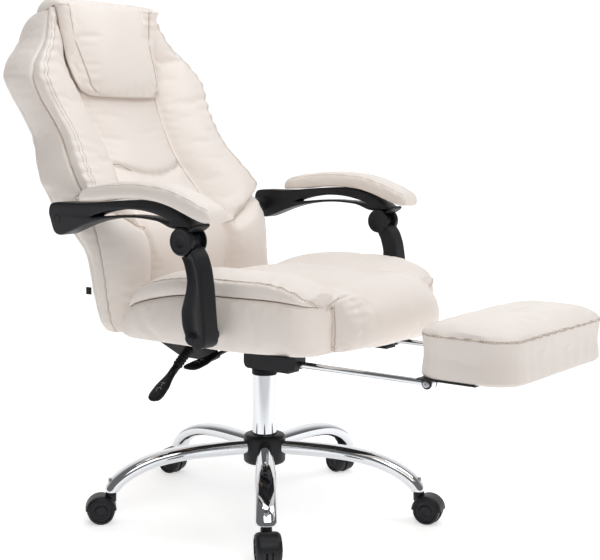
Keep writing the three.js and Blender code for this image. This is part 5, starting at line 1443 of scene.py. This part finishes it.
def add_base():
    """Legs are superellipses along a smooth bend. Hub, tube, bush and cylinder are turned."""
    for k in range(STAR["legs"]):
        outward = leg_direction(k)
        along, rise = spline(LEG_SHARES, 70).T[:, :, None]
        reach = STAR["socket"] + along * (STAR["radius"] - STAR["socket"])
        height = STAR["foot"] + rise * (STAR["root"] - STAR["foot"])
        path = np.array(COLUMN) + outward * reach + [0, 0, 1] * height
        path[-1, :2] = path[-2, :2]
        at = np.linspace(0, 1, len(path))[:, None]
        half = np.hstack([0.0135 + 0.0055 * smoothstep(0, 0.45, at), 0.014 - 0.0015 * at])
        leg = along_path(path, half, np.array([-outward[1], outward[0], 0]), 56, 2.5)
        name, node = f"base_leg_chrome_{k + 1}", f"base_leg_{k + 1}"
        make_piece(name, leg, CHROME, "base", [node], sharp=60)
    for name, profile, material, body, node, sides, sharp in (
        ("hub_cover_round", rounded(HUB_COVER, 0.003), PLASTIC, "base", "base_hub_cover", 96, 35),
        ("column_tube_chrome", TUBE, CHROME, "base", "gas_lift_outer_tube", 96, 28),
        ("column_bush_ribbed", BUSH, NYLON, "base", "gas_lift_guide_bush", 96, 35),
        ("column_cylinder_chrome", CYLINDER, CHROME, "seat", "gas_lift_cylinder", 80, 28),
    ):
        make_piece(name, turned(profile, COLUMN, sides=sides), material, body, [node], sharp=sharp)


def wheel_shape(hand):
    """A caster wheel turned about its axle: a rounded tread with a groove, a rim and a dish."""
    i, o, r = WHEEL["inside"], WHEEL["outside"], WHEEL["radius"]
    tread = [
        (0, i), (0.020, i), (0.0238, i + 0.0004), (r, i + 0.002), (r, o - 0.0055),
        (0.0247, o - 0.0035), (0.0236, o - 0.0015), (0.0218, o - 0.0004), (0.0205, o - 0.0002),
        (0.0198, o - 0.0009), (0.0191, o - 0.0028), (0.0135, o - 0.0034), (0.0122, o - 0.0024),
        (0.0112, o - 0.0008), (0.0088, o - 0.0003), (0.0082, o - 0.0009), (0.0078, o - 0.0018),
        (0, o - 0.002),
    ]
    return turned(rounded(tread, 0.0008, 4), (WHEEL["trail"], 0, r), "y", 72, hand)


WEB = [
    (0, -0.0038), (0.0262, -0.0038), (0.0268, -0.003), (0.0268, 0.003), (0.0262, 0.0038),
    (0, 0.0038),
]
STEM_BOSS = [
    (0, 0.04), (0.0096, 0.04), (0.01, 0.041), (0.0104, 0.0535), (0.0098, 0.0578),
    (0.0086, 0.0582), (0, 0.0582),
]
STEM = [
    (0, 0.043), (0.0044, 0.043), (0.0045, 0.0585), (0.0078, 0.0586), (0.008, 0.059),
    (0.008, 0.0602), (0.0077, 0.0606), (0.0045, 0.0608), (0.0045, 0.082), (0.0036, 0.0846),
    (0, 0.0847),
]


def hood_shape():
    """A caster's hood: an arc over the axle carried across both wheels, rounded at its sides,
    with a thickness inwards, a web between the wheels and a boss round the stem."""
    angle = np.radians(np.linspace(4, 176, 44))[:, None]
    share = np.linspace(-1, 1, 33)
    fall = np.abs(share) ** 7
    rings = []
    for radius, half in ((0.0292, 0.0226), (0.0266, 0.0214)):
        reach = radius - 0.0045 * fall
        x = WHEEL["trail"] + reach * np.cos(angle)
        z = WHEEL["radius"] + reach * np.sin(angle)
        rings.append(grid_of(x, share * half * (1 - 0.03 * fall), z))
    grid = np.concatenate([rings[0], rings[1][:, ::-1]], axis=1)
    points, faces = skin(grid, caps=False)
    index = np.arange(len(points)).reshape(grid.shape[:2])
    for row, way in ((0, 1), (-1, -1)):
        outer, inner = index[row, : len(share)], index[row, : len(share) - 1 : -1]
        strip = np.stack([outer[:-1], outer[1:], inner[1:], inner[:-1]], axis=-1)
        faces += strip[:, ::way].tolist()
    web = turned(WEB, (WHEEL["trail"], 0, WHEEL["radius"]), "y", 64)
    return together((points, faces), web, turned(rounded(STEM_BOSS, 0.001), sides=56))


def add_casters():
    """Casters are shaped at the origin, then turned and moved to the ends of the legs."""
    for k in range(STAR["legs"]):
        outward = leg_direction(k)
        turn = math.atan2(outward[1], outward[0]) + math.radians(CASTER_TURNS[k])
        cos, sin = math.cos(turn), math.sin(turn)
        spin = np.array([[cos, sin, 0], [-sin, cos, 0], [0, 0, 1]])
        place = np.array(COLUMN) + outward * STAR["radius"]
        n = k + 1
        caster, wheels = f"caster_{n}", f"wheels_{n}"
        stem = turned(STEM, sides=48)
        for name, shape, material, body, node in (
            (f"caster_hood_round_{n}", hood_shape(), PLASTIC, caster, f"caster_hood_{n}"),
            (f"caster_tread_{n}_right", wheel_shape(-1), NYLON, wheels, f"caster_wheel_{n}_right"),
            (f"caster_tread_{n}_left", wheel_shape(1), NYLON, wheels, f"caster_wheel_{n}_left"),
            (f"caster_stem_turned_{n}", stem, ZINC, caster, f"caster_stem_{n}"),
        ):
            make_piece(name, (shape[0] @ spin + place, shape[1]), material, body, [node])


# The levers. Places are (X, Z) in a plane across the chair at a place along Y.
LIFT = {
    "y": 0.058 + COLUMN_Y, "pivot": (-0.056, 0.336), "bend": (-0.146, 0.337),
    "end": (-0.208, 0.287), "length": 0.074, "half": 0.017,
}
RECLINE = {
    "y": 0.005 + COLUMN_Y, "pivot": (-0.056, 0.334), "bend": (-0.092, 0.33),
    "end": (-0.154, 0.319), "length": 0.078, "half": 0.018,
}
PADDLE_ROWS = [
    (0, 0.3), (0.02, 0.42), (0.25, 0.62), (0.55, 0.95), (0.78, 1), (0.9, 0.88), (0.97, 0.6),
    (1, 0.22),
]
BARREL = [
    (0, -0.007), (0.0068, -0.007), (0.007, -0.0068), (0.007, 0.0068), (0.0068, 0.007), (0, 0.007),
]
LEVER_PIN = [(0, -0.0112), (0.0032, -0.0112), (0.0032, 0.0112), (0, 0.0112)]
NECK = [
    (-0.0079, 0.0062), (-0.0075, 0.0072), (0, 0.0075), (0.01, 0.0072), (0.016, 0.0055),
    (0.021, 0.002),
]
NECK_BACK = 0.0117  # from the rod's end back to where the paddle starts
SLEEVE = {"length": 0.051, "clear": 0.02, "radius": 0.0075, "rib": 0.002, "pitch": 0.007}
ACROSS = np.array([0.0, 1.0, 0.0])  # the direction square to the plane of a lever
# A paddle's marking: the share along it and the height of the ring's middle, the ring's radius
# and its ends in degrees, places along the paddle from that middle, and half of the foot.
MARK = {
    "share": 0.66, "height": 0.0036, "radius": 0.0048, "turn": (20, 250),
    "foot": -0.016, "bar": -0.009, "half": 0.0045, "stroke": (0.0005, 0.0004),
}


def lever_places(spec):
    """A lever's pivot, bend and end, and the direction of its last straight run."""
    pivot, bend, end = (
        np.array([spec[key][0], spec["y"], spec[key][1]]) for key in ("pivot", "bend", "end")
    )
    return pivot, bend, end, unit(end - bend)


def add_lever(name, spec):
    """A bent rod, a moulded paddle that is a row of superellipses, its round neck and barrel."""
    pivot, bend, end, along = lever_places(spec)
    soft = bend_through(bend + (pivot - bend) * 0.12, bend, bend + (end - bend) * 0.12, 16)
    rod = along_path(np.vstack([pivot, soft, end]), (0.004, 0.004), ACROSS, 32)
    shape = together(rod, turned(BARREL, pivot, "y", 40), turned(LEVER_PIN, pivot, "y", 24))
    make_piece(f"{name}_rod_bent", shape, COAT, name, [f"{name}_arm"])
    start = end - along * NECK_BACK
    at = np.linspace(0, 1, 60)
    half = curve_through(PADDLE_ROWS, at) * spec["half"]
    thick = 0.0038 - 0.0006 * at - 0.0022 * smoothstep(0.93, 1, at)
    line = start + along * (at * spec["length"])[:, None]
    blade = along_path(line, np.column_stack([half, thick]), ACROSS, 40, 3.2)
    neck_at, girth = np.array(NECK)[:, :1], np.array(NECK)[:, [1, 1]]
    neck = along_path(start + along * neck_at, girth, ACROSS, 40)
    shape = together(blade, neck)
    make_piece(f"{name}_paddle_moulded", shape, PLASTIC, name, [f"{name}_paddle"], sharp=50)
    add_marking(name, start, along, spec["length"])


def add_marking(name, start, along, length):
    """Plain lines printed on a paddle: an open ring, a bar behind it and a foot across."""
    up = np.cross(along, ACROSS)
    up = up if up[2] > 0 else -up
    middle = start + along * length * MARK["share"] + up * MARK["height"]
    ring = np.radians(np.linspace(*MARK["turn"], 20))[:, None]
    arc = middle + MARK["radius"] * (np.cos(ring) * along + np.sin(ring) * ACROSS)
    bar = middle + along * np.linspace(MARK["foot"], MARK["bar"], 4)[:, None]
    reach = np.linspace(-MARK["half"], MARK["half"], 4)[:, None]
    foot = middle + along * MARK["foot"] + ACROSS * reach
    lines = ((arc, up), (bar, ACROSS), (foot, up))
    strokes = [along_path(line, MARK["stroke"], side, 8) for line, side in lines]
    make_piece(f"{name}_marking", together(*strokes), MARKING, name, sharp=60)


def add_sleeve():
    """The lift lever's rubber grip: rings whose radius goes up and down along the rod."""
    _, _, end, along = lever_places(LIFT)
    length, pitch = SLEEVE["length"], SLEEVE["pitch"]
    at = np.linspace(0, length, 90)
    wave = (1 - np.cos(2 * np.pi * np.clip(at - 0.0045, 0, 6 * pitch) / pitch)) / 2
    radius = SLEEVE["radius"] + SLEEVE["rib"] * wave**0.7
    radius = radius - 0.0012 * (1 - smoothstep(0, 0.001, np.minimum(at, length - at)))
    line = end + along * (at - length - SLEEVE["clear"] - GAP)[:, None]
    grip = along_path(line, np.column_stack([radius, radius]), ACROSS, 40)
    make_piece("lift_lever_grip", grip, RUBBER, "lift_lever", ["lift_lever_sleeve"], sharp=70)


# The footrest's rods and the small parts
RAIL = {"x": 0.158, "z": 0.331, "pivot": -0.463 + COLUMN_Y, "rear": -0.125 + COLUMN_Y}
ROD = [
    (0, RAIL["pivot"]), (0.0055, RAIL["pivot"]), (0.0055, RAIL["rear"] - 0.001),
    (0.0046, RAIL["rear"]), (0, RAIL["rear"]),
]
ROD_KNUCKLE = [
    (0, -0.007), (0.0085, -0.007), (0.009, -0.0064), (0.009, 0.0064), (0.0085, 0.007), (0, 0.007),
]
SCREW_HEAD = [
    (0, 0), (0.0062, 0), (0.0064, 0.0008), (0.0058, 0.0022), (0.0045, 0.0028), (0.0018, 0.0028),
    (0.0016, 0.0014), (0, 0.0013),
]
SCREW_OUT = 0.0101  # from a rod's middle to the seat of its screw


def add_rods():
    """The footrest's rods with their round ends, turned, and the screws beside them."""
    for hand, side in SIDES:
        x, y, z = hand * RAIL["x"], RAIL["pivot"], RAIL["z"]
        rod = turned(ROD, (x, 0, z), "y", 48)
        shape = together(rod, turned(ROD_KNUCKLE, (x, y, z), "x", 48))
        name, node = f"footrest_rod_chrome_{side}", f"footrest_rod_{side}"
        make_piece(name, shape, CHROME, "footrest_rods", [node], sharp=28)
        screw = turned(SCREW_HEAD, (x + hand * SCREW_OUT, y, z), "x", 40, hand)
        make_piece(f"footrest_screw_{side}", screw, ZINC, "footrest")


TAB_PLACE = (-0.2375, 0.2885, 0.4335)  # in the rear seam of the near side
TAB_SIZE = (0.0014, 0.014, 0.014)
DUST_COVER = {"low": 0.3541, "high": 0.3549, "edge": 0.0002}
# Outlines in the dust cover: [lowest X, highest X, lowest Y, highest Y].
DUST_OUTLINE = (-0.228, 0.228, -0.175, 0.178)
GUIDE_HOLE = (0.1405, 0.1755, -0.1535, -0.0375)
MOUNT_HOLE = [
    (-0.101, -0.0695), (0.101, -0.0695), (0.101, 0.033), (0.136, 0.033), (0.136, 0.173),
    (-0.136, 0.173), (-0.136, 0.033), (-0.101, 0.033),
]


def rectangle(x0, x1, y0, y1):
    """Corners of a rectangle, going round anticlockwise."""
    return np.array([(x0, y0), (x1, y0), (x1, y1), (x0, y1)])


def add_tab():
    """A small blank woven tab that stands out of the back's rear seam: a flat rounded plate."""
    x, y, z = TAB_PLACE
    thick, wide, tall = (size / 2 for size in TAB_SIZE)
    loop = rectangle(y - wide, y + wide, z - tall, z + tall)
    shape = plate([loop], "yz", x - thick, x + thick, 0.0004)
    make_piece("back_blank_tab", shape, RUBBER, "back", sharp=40)


def add_dust_cover():
    """The black cloth stapled under the seat: a thin sheet cut out round the metalwork."""
    x0, x1, *depth = GUIDE_HOLE
    holes = [np.array(MOUNT_HOLE), rectangle(-x1, -x0, *depth), rectangle(x0, x1, *depth)]
    loops = [rectangle(*DUST_OUTLINE), *(hole[::-1] for hole in holes)]
    shape = plate(loops, "xy", DUST_COVER["low"], DUST_COVER["high"], DUST_COVER["edge"])
    make_piece("seat_dust_cover", shape, DUST_CLOTH, "seat", sharp=40)


# Materials of the CAD nodes that stay in view
KEPT = {
    ZINC: ("base_hub_socket", "gas_lift_piston_rod", "back_hinge_pin"),
    COAT: (
        "seat_mount_plate", "back_hinge_right", "back_hinge_left",
        "footrest_bracket_right", "footrest_bracket_left",
    ),
    PLASTIC: ("footrest_guide_right", "footrest_guide_left"),
    PLYWOOD: ("seat_board",),
}


def dress_kept_nodes():
    """Gives each CAD node that stays its own finish on every slot."""
    for material, names in KEPT.items():
        for name in names:
            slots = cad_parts[name].data.materials
            for k in range(len(slots)):
                slots[k] = material


# Sewing. Directions, and the columns of the seams in two grids.
FRONT, TOP, BOTH, WIDE = (0, -1, 0), (0, 0, 1), (0, -1, 1), (1, 0, 0)
PILLOW_SEAMS = [PILLOW_ACROSS * (1 + way * PILLOW["seam"]) / 2 for way in (-1, 1)]
SEAT_SEAMS = [SEAT_ACROSS * (1 + way * TOP_SEAM) / 2 for way in (-1, 1)]
WING_SPREAD = (-0.003, 0.0035)  # from the line on a wing to its two rows of stitches
PILLOW_SPREAD = (-0.002, 0.002)  # from the pillow's right and left seam to its row
SEAT_BEND = SEAT_ROWS - 50  # the last row on the seat's top, before its front roll
SEAT_SEAM_ROWS = (8, SEAT_ROWS - 6)  # the rows at the ends of the seat's long seams


def stitches(grid, low, high, count, columns_and_sides, outward):
    """Rows of stitches up a grid from one row to another, each in its column and moved to its
    side."""
    rows = np.linspace(low, high, count)
    return [stitch_row(grid, rows, column, way, outward) for column, way in columns_and_sides]


def seam_shadow_cords(grid, low, high, count, columns, outward, lift=0.0006):
    """Cords of painted seam shadow up a grid from one row to another, one in each column."""
    rows = np.linspace(low, high, count)
    return [seam_shadow_cord(grid, rows, column, WIDE, outward, lift) for column in columns]


def sew_rows():
    """Rows of stitches: double along the wings, single on the pillow, double along the seat's
    top panel, and one on each side of the footrest's seam."""
    back, pillow, seat, foot = (c["grid"] for c in (BACK_PAD, HEADREST, SEAT_TOP, FOOT_PAD))
    for side, column in (("right", 1.5), ("left", BACK_ACROSS - 1.5)):
        ways = [(column, way) for way in WING_SPREAD]
        lines = stitches(back, WING_ROW + 1, len(back) - 4, 160, ways, FRONT)
        add_stitches(f"stitches_wing_{side}", lines, "back")
    ways = zip(PILLOW_SEAMS, PILLOW_SPREAD)
    add_stitches("stitches_pillow", stitches(pillow, 2, 44, 120, ways, FRONT), "back")
    ways = [(column, way) for column in SEAT_SEAMS for way in (-SEAM_SPREAD, SEAM_SPREAD)]
    lines = stitches(seat, SEAT_SEAM_ROWS[0], SEAT_BEND, 240, ways, TOP)
    lines += stitches(seat, SEAT_BEND + 1, SEAT_SEAM_ROWS[1], 120, ways, FRONT)
    add_stitches("stitches_seat", lines, "seat")
    columns = np.linspace(0, foot.shape[1], 600)
    lines = [stitch_row(foot, FOOT_SEAM + off, columns) for off in (-7, 9)]
    add_stitches("stitches_footrest", lines, "footrest")


def lay_seam_shadows():
    """Cords in the back's creases, in its lumbar seam, at the wings' lower edges, on the pillow,
    along the seat's top panel, where the seat's lobes end, and round the footrest. Each stands for
    the seam's fold, and its darker colour is painted shade of the groove."""
    back, pillow, seat, foot = (c["grid"] for c in (BACK_PAD, HEADREST, SEAT_TOP, FOOT_PAD))
    quarter = BACK_ACROSS // 4
    # Each cord is coloured as painted shade of the crease or seam it lies in.
    cords = seam_shadow_cords(back, 3, len(back) - 16, 160, (quarter, 3 * quarter), FRONT, 0.0036)
    for row, start, end, count in (
        (LUMBAR_ROW, quarter, 3 * quarter, 90), (WING_ROW, 3, quarter, 50),
        (WING_ROW, 3 * quarter, BACK_ACROSS - 3, 50),
    ):
        cords.append(seam_shadow_cord(back, row, np.linspace(start, end, count), TOP, FRONT, 0.003))
    cords += seam_shadow_cords(pillow, 2, 42, 90, PILLOW_SEAMS, FRONT)
    make_piece("back_painted_seam_shadows", together(*cords), SEAM_SHADOW, "back", sharp=60)
    cords = seam_shadow_cords(seat, *SEAT_SEAM_ROWS, 240, SEAT_SEAMS, BOTH)
    for start in (1.0, SEAT_ACROSS * 0.75):
        columns = np.linspace(start, start + SEAT_ACROSS / 4 - 1, 60)
        cords.append(seam_shadow_cord(seat, LOBE_ROW + 0.5, columns, FRONT, BOTH))
    make_piece("seat_painted_seam_shadows", together(*cords), SEAM_SHADOW, "seat", sharp=60)
    cord = seam_shadow_cord(foot, FOOT_SEAM + 1, np.linspace(0, foot.shape[1], 600), TOP)
    make_piece("footrest_painted_seam_shadow", cord, SEAM_SHADOW, "footrest", sharp=60)


def sew_arm_pads():
    """Two rows of stitches along the top of each arm pad."""
    for (_, side), cushion in zip(SIDES, ARM_PADS):
        ways = [(degrees / 360 * ARM_PAD_ROUND, 0.0) for degrees in (40, 140)]
        lines = stitches(cushion["grid"], 5, 58, 140, ways, None)
        add_stitches(f"stitches_arm_{side}", lines, f"arm_{side}")


BACK_PAD = add_back_pad()
add_back_casing()
HEADREST = add_pillow()
add_seat_box()
SEAT_TOP = add_seat_top()
FOOT_PAD = add_foot_pad()
ARM_PADS = [add_arm_pad(hand, side) for hand, side in SIDES]
simulate_cushions()
finish_cushions()
sew_rows()
lay_seam_shadows()
sew_arm_pads()

for hand, side in SIDES:
    add_arm(hand, side)
    add_post(hand, side)
add_base()
add_casters()
add_lever("lift_lever", LIFT)
add_lever("recline_lever", RECLINE)
add_sleeve()
add_rods()
add_tab()
add_dust_cover()
dress_kept_nodes()
